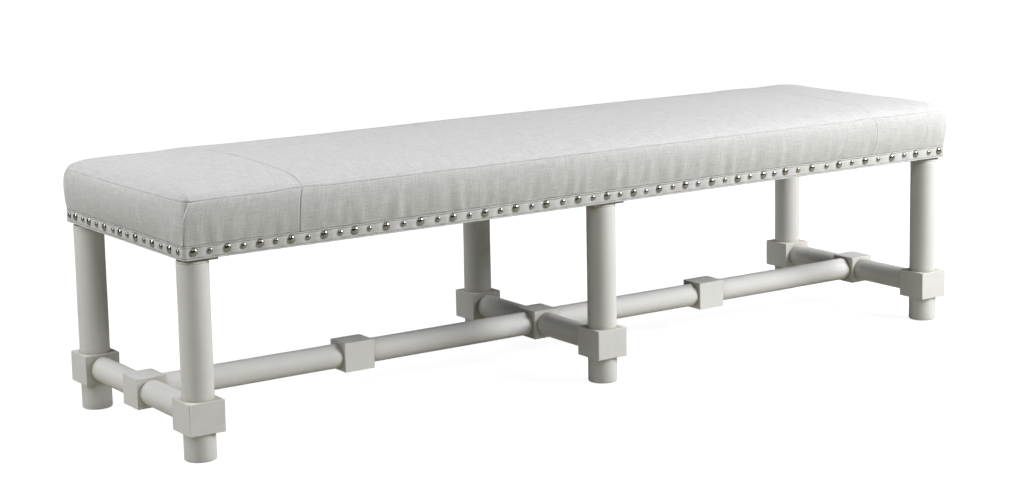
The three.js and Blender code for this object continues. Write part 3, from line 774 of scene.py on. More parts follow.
def build_skin(skin):
    """Base positions: top grid (n, m, 3) and rings (levels, B, 3)."""
    z = pchip([c[0] for c in CROWN], [c[1] for c in CROWN], skin.d)
    # the seam rises a little where the cross seams meet it, and dips at the corners
    rim = np.exp(-skin.d / 26.0)
    lift = 2.6 * np.exp(-((np.min(np.abs(skin.GX[..., None] - np.array(SEAM_X)), -1) / 42.0) ** 2)) * (skin.dy < skin.dx)
    cd = np.hypot(skin.dx, skin.dy)
    z = z + rim * (lift - 2.2 * np.exp(-((cd / 34.0) ** 2)))
    # the rim is drawn in near the corners
    kx, ky = corner_pull(skin.GX, skin.GY)
    tx = 12.8 * kx * np.exp(-skin.dy / 75.0) * np.exp(-skin.dx / 60.0)
    ty = 12.8 * ky * np.exp(-skin.dx / 36.0) * np.exp(-skin.dy / 60.0)
    top = np.stack([skin.px - np.sign(skin.GX) * tx, skin.py - np.sign(skin.GY) * ty, z], -1)
    rings = []
    w = swell(skin.t)
    lx, ly = corner_pull(skin.GX[skin.ri, skin.rj], skin.GY[skin.ri, skin.rj], True)
    kr = lx * skin.nx**2 + ly * skin.ny**2
    for off, zz in skin.levels:
        r = corner_radius(zz)
        if off < -15:
            r = 2.0
        x, y = skin.ring(off, r)
        if off > 1.0:
            tight = (1 - w) * kr * (off - corner_off(zz))
            x, y = x - skin.nx * tight, y - skin.ny * tight
        rings.append(np.stack([x, y, np.full_like(x, zz)], -1))
    rings = np.array(rings)
    rise = top[skin.ri, skin.rj, 2] - 475.0
    for l, (off, zz) in enumerate(skin.levels):
        rings[l, :, 2] += rise * float(np.clip((zz - 425.0) / 50.0, 0, 1)) * (1.0 if off > 0 else 0.0)
    # the first rings meet the rim exactly where the top panel ends
    edge = top[skin.ri, skin.rj, :2] - np.stack(skin.ring(7.8, RC), -1)
    tight0 = (1 - w) * kr * 12.8
    fix = edge + np.stack([skin.nx, skin.ny], -1) * tight0[:, None]
    for l, (off, zz) in enumerate(skin.levels):
        rings[l, :, :2] += fix * float(np.clip((zz - 440.0) / 35.0, 0, 1))
    return top, rings


def skin_faces(skin, nlev):
    n, m, B = skin.n, skin.m, skin.B
    idx = np.arange(n * m).reshape(n, m)
    quads = np.stack([idx[:-1, :-1], idx[1:, :-1], idx[1:, 1:], idx[:-1, 1:]], -1).reshape(-1, 4)
    rim = idx[skin.ri, skin.rj]
    rows = [rim] + [n * m + l * B + np.arange(B) for l in range(nlev)]
    side = []
    for a, b in zip(rows, rows[1:]):
        a1, b1 = np.roll(a, -1), np.roll(b, -1)
        side.append(np.stack([b, b1, a1, a], -1))
    side = np.concatenate(side)
    return quads, side, rows


def cloth_pass(X, Y, levels):
    """Inflate a coarse skin with cloth and return how far each of its points moved (mm)."""
    sk = Skin(X, Y, levels)
    top, rings = build_skin(sk)
    quads, side, rows = skin_faces(sk, len(levels))
    v = np.concatenate([top.reshape(-1, 3), rings.reshape(-1, 3)])
    faces = [tuple(q) for q in quads.tolist()] + [tuple(q) for q in side.tolist()] + [tuple(int(i) for i in rows[-1][::-1])]
    ob = new_object("cloth_work", v, faces, LINEN, smooth=False)
    me = ob.data
    me.validate()
    nrm = np.zeros(len(me.vertices) * 3, np.float32)
    me.vertices.foreach_get("co", nrm)
    co0 = nrm.reshape(-1, 3).astype(float)
    normals = np.array([tuple(q.normal) for q in me.vertices])
    nt = top.shape[0] * top.shape[1]
    pin = np.zeros(len(co0))
    zr = np.array([z for _, z in levels])
    low = zr <= 399.6
    pin_r = np.zeros((len(levels), sk.B))
    pin_r[low] = 1.0
    seam_cols = np.min(np.abs(sk.GX[sk.ri, sk.rj][:, None] - np.array(SEAM_X)[None]), 1) < 1.0
    pin_r[:, seam_cols & ~sk.corner] = np.maximum(pin_r[:, seam_cols & ~sk.corner], 0.5)
    pin[nt:] = pin_r.ravel()
    pt = np.zeros((sk.n, sk.m))
    pt[(sk.d < 0.5)] = 0.75  # perimeter seam
    pt[np.min(np.abs(sk.GX[..., None] - np.array(SEAM_X)), -1) < 1.0] = 0.55
    pt[(sk.d < 0.5)] = 0.75
    pin[:nt] = pt.ravel()
    start = co0 - normals * (1.2 * MM) * (1 - pin)[:, None]
    me.vertices.foreach_set("co", start.astype(np.float32).ravel())
    me.update()
    vg = ob.vertex_groups.new(name="pin")
    for w in np.unique(pin):
        if w > 0:
            vg.add([int(i) for i in np.nonzero(pin == w)[0]], float(w), "REPLACE")
    mod = ob.modifiers.new("cloth", "CLOTH")
    c = mod.settings
    c.quality = 6
    c.mass = 0.25
    c.tension_stiffness = c.compression_stiffness = 60
    c.shear_stiffness = 25
    c.bending_stiffness = 6
    c.tension_damping = c.compression_damping = 12
    c.air_damping = 4
    c.vertex_group_mass = "pin"
    c.pin_stiffness = 1.0
    c.use_pressure = True
    c.uniform_pressure_force = 4.0
    c.effector_weights.gravity = 0.0
    mod.collision_settings.use_collision = False
    mod.collision_settings.use_self_collision = False
    mod.point_cache.frame_start, mod.point_cache.frame_end = 1, 20
    sc = bpy.context.scene
    for f in range(1, 21):
        sc.frame_set(f)
    dg = bpy.context.evaluated_depsgraph_get()
    ev = ob.evaluated_get(dg)
    out = np.zeros(len(co0) * 3, np.float32)
    ev.data.vertices.foreach_get("co", out)
    moved = (out.reshape(-1, 3).astype(float) - co0) / MM
    sc.frame_set(1)
    bpy.data.objects.remove(ob)
    bpy.data.meshes.remove(me)
    if not np.isfinite(moved).all():
        moved[:] = 0.0
    print("cloth: moved mean %.2f, 95%% %.2f, max %.2f mm" % (np.linalg.norm(moved, axis=1).mean(), np.percentile(np.linalg.norm(moved, axis=1), 95), np.linalg.norm(moved, axis=1).max()))
    return sk, moved[:nt].reshape(sk.n, sk.m, 3), moved[nt:].reshape(len(levels), sk.B, 3)


def bilinear(xs, ys, grid, qx, qy):
    i = np.clip(np.searchsorted(xs, qx) - 1, 0, len(xs) - 2)
    j = np.clip(np.searchsorted(ys, qy) - 1, 0, len(ys) - 2)
    u = np.clip((qx - xs[i]) / (xs[i + 1] - xs[i]), 0, 1)[..., None]
    w = np.clip((qy - ys[j]) / (ys[j + 1] - ys[j]), 0, 1)[..., None]
    return (1 - u) * (1 - w) * grid[i, j] + u * (1 - w) * grid[i + 1, j] + (1 - u) * w * grid[i, j + 1] + u * w * grid[i + 1, j + 1]


def capped(v, cap):
    ln = np.linalg.norm(v, axis=-1, keepdims=True)
    soft = cap * np.tanh(ln / cap)
    return v * np.where(ln > 1e-9, soft / np.maximum(ln, 1e-9), 1.0)


def seam_shape(d):
    """Section across a sewn seam: a narrow valley between two low ridges (mm)."""
    d = np.abs(d)
    return -1.45 * np.exp(-((d / 0.80) ** 2)) + 0.38 * np.exp(-(((d - 2.6) / 1.5) ** 2)) - 0.30 * np.exp(-((d / 9.0) ** 2))


off_of = lambda z: pchip([b[1] for b in BOXING], [b[0] for b in BOXING], z)
zs_fine = [474.3, 473.4, 472.2, 470.4, 468.0, 465.0, 461.0, 456.5, 451.5, 446.5, 441.0, 435.5, 430.0, 424.5, 419.0, 413.5, 408.5, 404.5, 401.5, 399.2, 397.6, 396.4, 395.6]
SIDE = [(-1.9, 393.0), (-1.2, 394.9), (0.35, 396.0), (1.7, 399.2), (7.6, 415.0), (12.0, 434), (13.4, 452), (11.9, 466), (7.8, 475)]
fine_off = lambda z: float(pchip([b[1] for b in SIDE], [b[0] for b in SIDE], z))
FINE_LEVELS = [(fine_off(z), z) for z in zs_fine] + HIDDEN
zs_coarse = [468.0, 458.0, 446.0, 434.0, 422.0, 411.0, 402.0, 396.5]
COARSE_LEVELS = [(float(off_of(z)), z) for z in zs_coarse] + [HIDDEN[1], HIDDEN[3], HIDDEN[6], HIDDEN[8], HIDDEN[9], HIDDEN[12]]

seam_off = (0.0, 0.5, 1.0, 1.7, 2.6, 3.8, 5.5)
end_off = (0.0, 0.7, 1.4, 2.2, 3.2, 4.6, 6.5, 9.0, 12.0, 15.5, 19.5, 24.0, 30.0)
X = stations(-HX, HX, 7.0, SEAM_X, seam_off, end_off)
Y = stations(-HY, HY, 7.0, (), (), end_off)
skin = Skin(X, Y, FINE_LEVELS)
top, rings = build_skin(skin)

Xc = stations(-HX, HX, 13.0, SEAM_X, (0.0,), (0.0, 8.0, 24.0))
Yc = stations(-HY, HY, 13.0, (), (), (0.0, 8.0, 24.0))
csk, ct, cr = cloth_pass(Xc, Yc, COARSE_LEVELS)
# the drawn shape already holds the average swell, so only what differs from it is carried over
top_move = bilinear(csk.X, csk.Y, ct, skin.GX, skin.GY)
mid, half = np.abs(csk.X) < 560, csk.Y <= 0
top_move[..., 2] -= np.interp(skin.d, csk.d[mid][:, half].mean(0), ct[mid][:, half, 2].mean(0))
top_move[..., :2] *= np.clip(skin.d / 40.0, 0, 1)[..., None]
top_move = capped(0.35 * top_move, 3.0)
# levels as a running index, the perimeter as a periodic parameter
zc = np.array([475.0] + [z for _, z in COARSE_LEVELS[: len(zs_coarse)]])
rim = ct[csk.ri, csk.rj]
col = np.concatenate([rim[None], cr[: len(zs_coarse)]])  # level, B, 3
order = np.argsort(csk.t, kind="stable")
tt = np.concatenate([csk.t[order], [4.0]])
cc = np.concatenate([col[:, order], col[:, order[:1]]], 1)
keep = np.concatenate([[True], np.diff(tt) > 1e-9])
tt, cc = tt[keep], cc[:, keep]
zq = np.array([z for _, z in FINE_LEVELS[: len(zs_fine)]])
Q = bilinear(tt, -zc, np.swapaxes(cc, 0, 1), np.repeat(skin.t[:, None], len(zq), 1), np.repeat(-zq[None], skin.B, 0))
face, held = np.floor(skin.t).astype(int) % 4, swell(skin.t)
for k in range(4):
    on = face == k
    Q[on] -= np.median(Q[on], 0) * held[on, None, None]
Q[..., :2] *= np.clip((475.0 - zq) / 12.0, 0, 1)[None, :, None]
ring_move = np.zeros_like(rings)
ring_move[: len(zs_fine)] = capped(0.35 * np.swapaxes(Q, 0, 1), 3.0)

# seams, slack and hand-work on top of the simulated shape
gx = skin.GX[skin.ri, skin.rj]
rim_top = top[skin.ri, skin.rj]
seg = np.hypot(np.diff(np.append(rim_top[:, 0], rim_top[0, 0])), np.diff(np.append(rim_top[:, 1], rim_top[0, 1])))
arc = np.concatenate([[0.0], np.cumsum(seg)])
total = arc[-1]
S = arc[:-1]
xseam = np.min(np.abs(skin.GX[..., None] - np.array(SEAM_X)), -1)
edge_d = np.minimum(skin.dx, skin.dy)
fade = np.clip(edge_d / 40.0, 0, 1)
dz = seam_shape(xseam) * (0.75 + 0.25 * fade) * np.where(skin.GX > 0, 0.50, 1.0)
dz += 0.55 * np.sin(skin.GX / 151.0 + 1.3) * np.sin(skin.GY / 96.0 + 0.4) * fade + 0.35 * np.sin(skin.GX / 83.0 + skin.GY / 71.0) * fade
tops_n = np.stack([np.zeros_like(dz), np.zeros_like(dz), dz], -1)
# the perimeter seam, seen from the top's side
lean = np.clip(1 - edge_d / 14.0, 0, 1)
sd = seam_shape(edge_d * 1.0)
top = top + top_move + tops_n
top[..., 2] += sd * 1.0
inward = np.stack([-np.sign(skin.GX) * (skin.dx < skin.dy), -np.sign(skin.GY) * (skin.dx >= skin.dy)], -1) * lean[..., None]
top[..., :2] += -inward * sd[..., None] * 0.75

pull = wobble(S, total, 5, (110, 74, 52, 38, 27, 20), 1.0)
pull2 = wobble(S, total, 9, (130, 75, 38), 1.0)
slack = wobble(S, total, 12, (310, 210), 1.0)
pull3 = wobble(S, total, 27, (66, 47, 36, 29, 24), 1.0)
side_x = np.abs(skin.nx) < 0.02
seam_d = np.where(side_x, np.min(np.abs(gx[:, None] - np.array(SEAM_X)), 1), 1e3)
def between(u, nails):
    """Position along a row of nails: its whole part is the nail to the left."""
    return np.interp(u, nails, np.arange(len(nails)), left=-0.5, right=len(nails) - 0.5)


gy = skin.GY[skin.ri, skin.rj]
tuck = np.zeros(skin.B)
for on, u, row, seed in ((skin.ny < -0.7, gx, FRONT_X, 61), (skin.ny > 0.7, gx, BACK_X, 62), (skin.nx < -0.7, gy, LEFT_Y, 63), (skin.nx > 0.7, gy, RIGHT_Y, 64)):
    k = between(u, row)
    amp = np.random.default_rng(seed).uniform(0.15, 1.25, len(row) + 1)[np.floor(k).astype(int) + 1]
    tuck += np.where(on, amp * np.sin(np.pi * (k % 1.0)) ** 2, 0.0)
c_arcs = [S[k] for k in range(skin.B) if abs(abs(skin.nx[k]) - abs(skin.ny[k])) < 1e-6 and skin.corner[k]]
corner_d = np.min(np.abs(S[:, None] - np.array(c_arcs)[None]), 1) if c_arcs else np.full(skin.B, 1e3)
corner_d = np.minimum(corner_d, total - corner_d)
gather = -1.1 * np.exp(-((corner_d / 7.0) ** 2)) + 0.3 * np.exp(-(((corner_d - 15.0) / 7.0) ** 2))
pleat = np.exp(-((corner_d / 45.0) ** 2)) * np.cos(corner_d / 15.0 * math.pi)
for l, (off, z) in enumerate(FINE_LEVELS[: len(zs_fine)]):
    low = float(np.clip((462 - z) / 55.0, 0, 1)) * float(np.clip((z - 395.0) / 5.0, 0, 1))
    mid = math.sin(math.pi * min(1.0, max(0.0, (z - 397.0) / 77.0)))
    push = (0.85 * pull + 0.40 * pull2) * low**1.25 + 0.32 * pull2 * mid + 0.45 * slack * mid + 0.75 * pull3 * (0.45 * mid + 0.65 * low)
    push += 1.15 * (tuck - 0.3) * math.exp(-(((z - 400.0) / 24.0) ** 2))
    push = push * np.clip((corner_d - 6) / 30.0, 0.15, 1) * np.clip((seam_d - 2) / 16.0, 0.25, 1) * np.clip(1.15 - gx / 1400.0, 0.5, 1.2)
    push += seam_shape(seam_d) * (0.9 if z < 473 else 0.6) * np.where(gx > 0, 0.60, 1.0)
    push += min(1.0, max(0.0, (472 - z) / 34.0)) * (-1.5 * np.exp(-((corner_d / 1.0) ** 2)) + 0.35 * np.exp(-(((corner_d - 3.2) / 1.8) ** 2)))
    push += float(seam_shape(475.0 - z)) * 1.0
    push += gather * math.exp(-(((z - 466.0) / 9.0) ** 2)) + 0.5 * pleat * low
    nr = np.stack([skin.nx, skin.ny, np.zeros_like(push)], -1)
    rings[l] = rings[l] + ring_move[l] + nr * push[:, None]
    rings[l, :, 2] = np.maximum(rings[l, :, 2], 395.4)
quads, side, rows = skin_faces(skin, len(FINE_LEVELS))
verts = np.concatenate([top.reshape(-1, 3), rings.reshape(-1, 3)])
faces = [tuple(q) for q in quads.tolist()] + [tuple(q) for q in side.tolist()] + [tuple(int(i) for i in rows[-1][::-1])]
# cloth coordinates in metres: the top by x, y; the boxing by arc and drop
uv_top = (np.stack([skin.GX, skin.GY], -1).reshape(-1, 2) * MM)[quads.reshape(-1)]
drop = np.concatenate([[0.0], np.cumsum([8.0 * 0 + math.hypot(a[0] - b[0], a[1] - b[1]) for a, b in zip([(7.8, 475.0)] + FINE_LEVELS[:-1], FINE_LEVELS)])])
uv_side = np.zeros((len(side), 4, 2))
q = 0
for l in range(len(FINE_LEVELS)):
    s0, s1 = arc[:-1], arc[1:]
    block = np.stack([np.stack([s0, np.full_like(s0, -drop[l + 1])], -1), np.stack([s1, np.full_like(s0, -drop[l + 1])], -1), np.stack([s1, np.full_like(s0, -drop[l])], -1), np.stack([s0, np.full_like(s0, -drop[l])], -1)], 1)
    uv_side[q : q + skin.B] = block
    q += skin.B
uv_bottom = verts[rows[-1][::-1]][:, :2] * MM
uvs = np.concatenate([uv_top, (uv_side * MM).reshape(-1, 2) + np.array([0.0, 3.0]), uv_bottom])
cushion = new_object("seat_cushion", verts, faces, LINEN, smooth=True, angle=75.0, uv=uvs)
adopt(cushion, "cover_fabric", "seat_cover", "seat_wadding", "seat_foam")


# ---------------------------------------------------------------- trim tape
def outline_path(off, r, step):
    """Points, normals and arc lengths along the seat's outline, from the back's middle, all the way round."""
    hx, hy = SEAT_L / 2 + off, SEAT_D / 2 + off
    pts = []

    def line(x0, y0, x1, y1, nx, ny):
        n = max(2, int(math.hypot(x1 - x0, y1 - y0) / step))
        for i in range(n):
            pts.append((x0 + (x1 - x0) * i / n, y0 + (y1 - y0) * i / n, nx, ny))

    def arc_(cx, cy, a0):
        for i in range(10):
            a = math.radians(a0 + 90 * i / 10)
            pts.append((cx + r * math.cos(a), cy + r * math.sin(a), math.cos(a), math.sin(a)))

    line(0, hy, -hx + r, hy, 0, 1)
    arc_(-hx + r, hy - r, 90)
    line(-hx, hy - r, -hx, -hy + r, -1, 0)
    arc_(-hx + r, -hy + r, 180)
    line(-hx + r, -hy, hx - r, -hy, 0, -1)
    arc_(hx - r, -hy + r, 270)
    line(hx, -hy + r, hx, hy - r, 1, 0)
    arc_(hx - r, hy - r, 0)
    line(hx - r, hy, 0, hy, 0, 1)
    pts.append((0, hy, 0, 1))
    p = np.array(pts)
    s = np.concatenate([[0.0], np.cumsum(np.hypot(np.diff(p[:, 0]), np.diff(p[:, 1])))])
    return p, s


NAILS = []  # x, y, nx, ny, large
for i, x in enumerate(FRONT_X):
    NAILS.append((x, -SEAT_D / 2, 0.0, -1.0, i % 2 == 0))
for i, x in enumerate(BACK_X):
    NAILS.append((x, SEAT_D / 2, 0.0, 1.0, i % 2 == 0))
for i, y in enumerate(LEFT_Y):
    NAILS.append((-SEAT_L / 2, y, -1.0, 0.0, i % 2 == 1))
for i, y in enumerate(RIGHT_Y):
    NAILS.append((SEAT_L / 2, y, 1.0, 0.0, i % 2 == 1))
NAILS = [(*q[:4], q[4], NAIL_Z + float(d)) for q, d in zip(NAILS, RNG.normal(0, 0.45, len(NAILS)))]


def nail_arcs(path, s):
    out = []
    for x, y, nx, ny, big, z in NAILS:
        d = (path[:, 0] - x) ** 2 + (path[:, 1] - y) ** 2
        out.append(s[int(np.argmin(d))])
    return np.array(out)


path, ps = outline_path(0.0, 5.0, 4.0)
na = nail_arcs(path, ps)
order = np.argsort(na)
nas = na[order]
mids = np.interp(ps, nas, np.arange(len(nas)), left=-0.5, right=len(nas) - 0.5)
puck = np.sin(np.pi * (mids % 1.0)) ** 2  # 0 at a nail, 1 halfway between two
hand = wobble(ps, ps[-1], 31, (70, 48, 29), 1.0)
lean_t = np.roll(puck, 2)
tv, K = [], len(SECTION)
corner_s = [float(ps[k]) for k in range(len(path)) if abs(abs(path[k, 2]) - abs(path[k, 3])) < 1e-6]
for k in range(len(path)):
    x, y, nx, ny = path[k]
    fold = min([abs(ps[k] - c) for c in corner_s] + [99.0])
    for out, z, take, wave in SECTION:
        o = out
        if take > 0:
            o += take * (1.55 * puck[k] - 0.40 + 0.16 * hand[k])
            if out > -1.2:
                o -= 0.55 * math.exp(-((fold / 1.4) ** 2)) * min(1.0, take + 0.3)
                o += 0.25 * math.exp(-(((fold - 4.0) / 2.0) ** 2))
        zz = z + wave * (0.38 * puck[k] + 0.15 * hand[k])
        tv.append((x + nx * o, y + ny * o, zz))
tf, tuv = [], []
slen = np.concatenate([[0.0], np.cumsum([math.hypot(a[0] - b[0], a[1] - b[1]) for a, b in zip(SECTION, SECTION[1:])])])
for k in range(len(path) - 1):
    for j in range(K):
        j1 = (j + 1) % K
        tf.append((k * K + j, k * K + j1, (k + 1) * K + j1, (k + 1) * K + j))
        w0, w1 = slen[j], (slen[j1] if j1 else slen[-1] + 6)
        tuv += [(ps[k] * MM, w0 * MM), (ps[k] * MM, w1 * MM), (ps[k + 1] * MM, w1 * MM), (ps[k + 1] * MM, w0 * MM)]
# the strip's two cut ends meet, with a hair's gap, behind the bench
tv = np.array(tv)
tv[:K, 0] -= 0.25
tv[-K:, 0] += 0.25
tf.append(tuple(range(K - 1, -1, -1)))
tuv += [(0.0, slen[j] * MM) for j in range(K - 1, -1, -1)]
tf.append(tuple((len(path) - 1) * K + j for j in range(K)))
tuv += [(0.0, slen[j] * MM) for j in range(K)]
tape = new_object("woven_trim_tape", tv, tf, TAPE, smooth=True, angle=70.0, uv=tuv)
bm = bmesh.new()
bm.from_mesh(tape.data)
bmesh.ops.recalc_face_normals(bm, faces=bm.faces[:])
bm.to_mesh(tape.data)
bm.free()
adopt(tape, "tape_fabric", "trim_tape")


# stitches along the tape's lower and upper edges
def stitches(name, z, out, pitch, length, thick, seed, wave):
    rng = np.random.default_rng(seed)
    n = int(ps[-1] / pitch)
    sv, sf = [], []
    for i in range(n):
        s = (i + 0.5) * pitch + rng.normal(0, 0.12)
        x, y = np.interp(s, ps, path[:, 0]), np.interp(s, ps, path[:, 1])
        nx, ny = np.interp(s, ps, path[:, 2]), np.interp(s, ps, path[:, 3])
        ln = math.hypot(nx, ny)
        nx, ny = nx / ln, ny / ln
        pk = float(np.interp(s, ps, puck))
        hd = float(np.interp(s, ps, hand))
        o = out + 0.6 * (1.55 * pk - 0.40 + 0.16 * hd)
        zz = z + wave * (0.38 * pk + 0.15 * hd)
        tx, ty = -ny, nx
        tilt = rng.normal(0.0, 0.05)
        base = len(sv)
        for a, wdt in ((-0.5, 0.35), (-0.25, 0.9), (0.25, 0.9), (0.5, 0.35)):
            for c in range(5):
                an = 2 * math.pi * c / 5
                r = thick * wdt / 2
                lift = 0.22 * (1 - (2 * a) ** 2)
                du, dn, dv = a * length, lift + r * math.cos(an), r * math.sin(an) + a * length * tilt
                sv.append((x + tx * du + nx * (o + dn), y + ty * du + ny * (o + dn), zz + dv))
        for a in range(3):
            for c in range(5):
                d = (c + 1) % 5
                sf.append((base + a * 5 + c, base + (a + 1) * 5 + c, base + (a + 1) * 5 + d, base + a * 5 + d))
        sf.append(tuple(base + c for c in range(5)))
        sf.append(tuple(base + 15 + c for c in range(4, -1, -1)))
    ob = new_object(name, sv, sf, THREAD, angle=80.0)
    bm = bmesh.new()
    bm.from_mesh(ob.data)
    bmesh.ops.recalc_face_normals(bm, faces=bm.faces[:])
    bm.to_mesh(ob.data)
    bm.free()
    return adopt(ob, "tape_fabric")


stitches("tape_stitches_lower", 372.3, -0.72, 4.4, 2.9, 0.75, 41, 0.8)
stitches("tape_stitches_upper", 391.6, -0.78, 4.4, 2.9, 0.70, 42, -0.7)


# ---------------------------------------------------------------- nail heads
def nail_head(R, H, seg, rng):
    """Domed head: flat underside, rolled rim, dome; hand-hammered, so a little uneven."""
    prof = [(0, -0.35), (R * 0.86, -0.35), (R * 0.985, -0.15), (R, 0.25), (R * 0.985, 0.70), (R * 0.93, 1.25)]
    rim_h = 1.25
    for t in (16, 28, 40, 52, 64, 76):
        a = math.radians(t)
        prof.append((R * 0.93 * math.cos(a) ** 0.92, rim_h + (H - rim_h) * math.sin(a)))
    prof.append((0, H))
    v, f = lathe_mesh(prof, seg)
    dent = rng.uniform(-1, 1, 3)
    bump = 1 + 0.012 * np.sin(3 * np.arctan2(v[:, 1], v[:, 0]) + dent[0] * 3) + 0.01 * dent[1]
    v[:, :2] *= bump[:, None]
    return v, f


for label, keep in (("front", lambda q: q[3] < -0.5), ("back", lambda q: q[3] > 0.5), ("left_end", lambda q: q[2] < -0.5), ("right_end", lambda q: q[2] > 0.5)):
    for size, R, H in (("large", 7.9, 4.5), ("small", 5.5, 3.4)):
        rng = np.random.default_rng(sum(map(ord, label + size)))
        nv, nf = [], []
        for x, y, nx, ny, big, z in NAILS:
            if not keep((x, y, nx, ny)) or big != (size == "large"):
                continue
            v, f = nail_head(R, H, 28, rng)
            n = Vector((nx + rng.normal(0, 0.025), ny + rng.normal(0, 0.025), rng.normal(0.0, 0.035))).normalized()
            rot = n.to_track_quat("Z", "Y").to_matrix() @ Matrix.Rotation(rng.uniform(0, 6.28), 3, "Z")
            p = v @ np.array(rot).T + np.array([x + nx * 0.0, y + ny * 0.0, z])
            nf += [tuple(i + len(nv) for i in q) for q in f]
            nv += p.tolist()
        adopt(new_object("nails_%s_%s" % (size, label), nv, nf, NAIL, angle=50.0), "nailhead")


# ---------------------------------------------------------------- dust cover and its staples
def dust_sheet():
    hx, hy = 920.0, 249.0
    xs, ys = np.linspace(-hx, hx, 93), np.linspace(-hy, hy, 27)
    GX, GY = np.meshgrid(xs, ys, indexing="ij")
    bay = np.abs(np.sin(np.pi * (GX + hx) / (2 * hx) * 4)) ** 0.8
    sag = 1.6 * bay * np.clip(np.cos(np.pi * GY / (2 * hy)), 0, 1) ** 0.7
    plate = np.ones_like(GX)
    for sx in (-1, 0, 1):
        for sy in (-1, 1):
            d = np.hypot(np.maximum(np.abs(GX - sx * LEG_X) - 42, 0), np.maximum(np.abs(GY - sy * LEG_Y) - 42, 0))
            plate = np.minimum(plate, np.clip(d / 60, 0, 1))
    ripple = 0.18 * np.sin(GX / 17.0 + 0.4 * np.sin(GY / 40.0)) * np.clip((np.abs(GY) - 190) / 50, 0, 1)
    z1 = 369.35 - (sag + np.maximum(ripple, 0)) * plate
    n, m = GX.shape
    v = np.concatenate([np.stack([GX, GY, z1 - 0.55], -1).reshape(-1, 3), np.stack([GX, GY, z1], -1).reshape(-1, 3)])
    idx = np.arange(n * m).reshape(n, m)
    low = np.stack([idx[:-1, :-1], idx[:-1, 1:], idx[1:, 1:], idx[1:, :-1]], -1).reshape(-1, 4)
    up = np.stack([idx[:-1, :-1], idx[1:, :-1], idx[1:, 1:], idx[:-1, 1:]], -1).reshape(-1, 4) + n * m
    rim = [*idx[:, 0], *idx[-1, 1:], *idx[-2::-1, -1], *idx[0, -2:0:-1]]
    side = [(int(a), int(b), int(b) + n * m, int(a) + n * m) for a, b in zip(rim, rim[1:] + rim[:1])]
    faces = [tuple(q) for q in low.tolist()] + [tuple(q) for q in up.tolist()] + side
    uv = [(v[i][0] * MM, v[i][1] * MM) for q in faces for i in q]
    return new_object("dust_cloth_sheet", v, faces, CAMBRIC, uv=uv)


dust = adopt(dust_sheet(), "dust_cloth", "dust_cover")

sv, sf = [], []
rng = np.random.default_rng(77)


def staple(x, y, along_x):
    z = 368.72
    L, w = 5.0, 0.55
    a = rng.normal(0, 0.12) + (0.0 if along_x else math.pi / 2)
    c, s_ = math.cos(a), math.sin(a)
    base = len(sv)
    for u, r in ((-L, 0.6), (-L + 0.5, 1.0), (L - 0.5, 1.0), (L, 0.6)):
        for p_, q_ in ((-w, 0.0), (w, 0.0), (w * 0.7, -0.42), (-w * 0.7, -0.42)):
            sv.append((x + u * c - p_ * r * s_, y + u * s_ + p_ * r * c, z + q_ * r))
    for k in range(3):
        for j in range(4):
            sf.append((base + k * 4 + j, base + k * 4 + (j + 1) % 4, base + (k + 1) * 4 + (j + 1) % 4, base + (k + 1) * 4 + j))
    sf.append(tuple(base + j for j in range(3, -1, -1)))
    sf.append(tuple(base + 12 + j for j in range(4)))


def near_plate(x, y):
    return any(abs(x - a * LEG_X) < 50 and abs(y - b * LEG_Y) < 50 for a in (-1, 0, 1) for b in (-1, 1))


for sy in (-1, 1):
    for i in range(37):
        x, y = -900 + 50 * i + rng.normal(0, 3), sy * (243.0 + rng.normal(0, 0.8))
        if not near_plate(x, y):
            staple(x, y, True)
for sx in (-1, 1):
    for i in range(9):
        x, y = sx * (914.0 + rng.normal(0, 0.8)), -200 + 50 * i + rng.normal(0, 3)
        if not near_plate(x, y):
            staple(x, y, False)
st = new_object("dust_cloth_staples", sv, sf, ZINC, smooth=False)
bm = bmesh.new()
bm.from_mesh(st.data)
bmesh.ops.recalc_face_normals(bm, faces=bm.faces[:])
bm.to_mesh(st.data)
bm.free()
adopt(st, "plate_steel")


# ---------------------------------------------------------------- stage, light, camera
def floor_material():
    s = Shader("studio_floor")
    co = s.coords()
    far = s.node("ShaderNodeVectorMath", operation="LENGTH")
    s.put(far.inputs[0], co)
    n = s.noise(co, 2.0, 1.0)
    s.set(color=s.mix(n, (0.40, 0.40, 0.40), (0.42, 0.42, 0.42)), rough=0.9, spec=0.0)
    s.bsdf.inputs["Emission Color"].default_value = (1, 1, 1, 1)
    s.put(s.bsdf.inputs["Emission Strength"], s.remap(far.outputs["Value"], 1.3, 2.6, 0.93, 1.0))
    return s.mat


def bounce_material():
    s = Shader("studio_bounce")
    n = s.noise(s.coords(), 2.0, 1.0)
    return s.set(color=s.mix(n, (0.448, 0.437, 0.366), (0.468, 0.457, 0.386)), rough=0.9, spec=0.0)


PLANE = [(-9e4, -9e4, 0), (9e4, -9e4, 0), (9e4, 9e4, 0), (-9e4, 9e4, 0)]
floor = new_object("studio_floor_plane", [(x, y, -0.2) for x, y, _ in PLANE], [(0, 1, 2, 3)], floor_material(), smooth=False)
floor.visible_diffuse = floor.visible_glossy = floor.visible_transmission = floor.visible_shadow = False
bounce = new_object("studio_bounce_plane", PLANE, [(0, 1, 2, 3)], bounce_material(), smooth=False)
bounce.visible_camera = False
bounce.visible_shadow = False

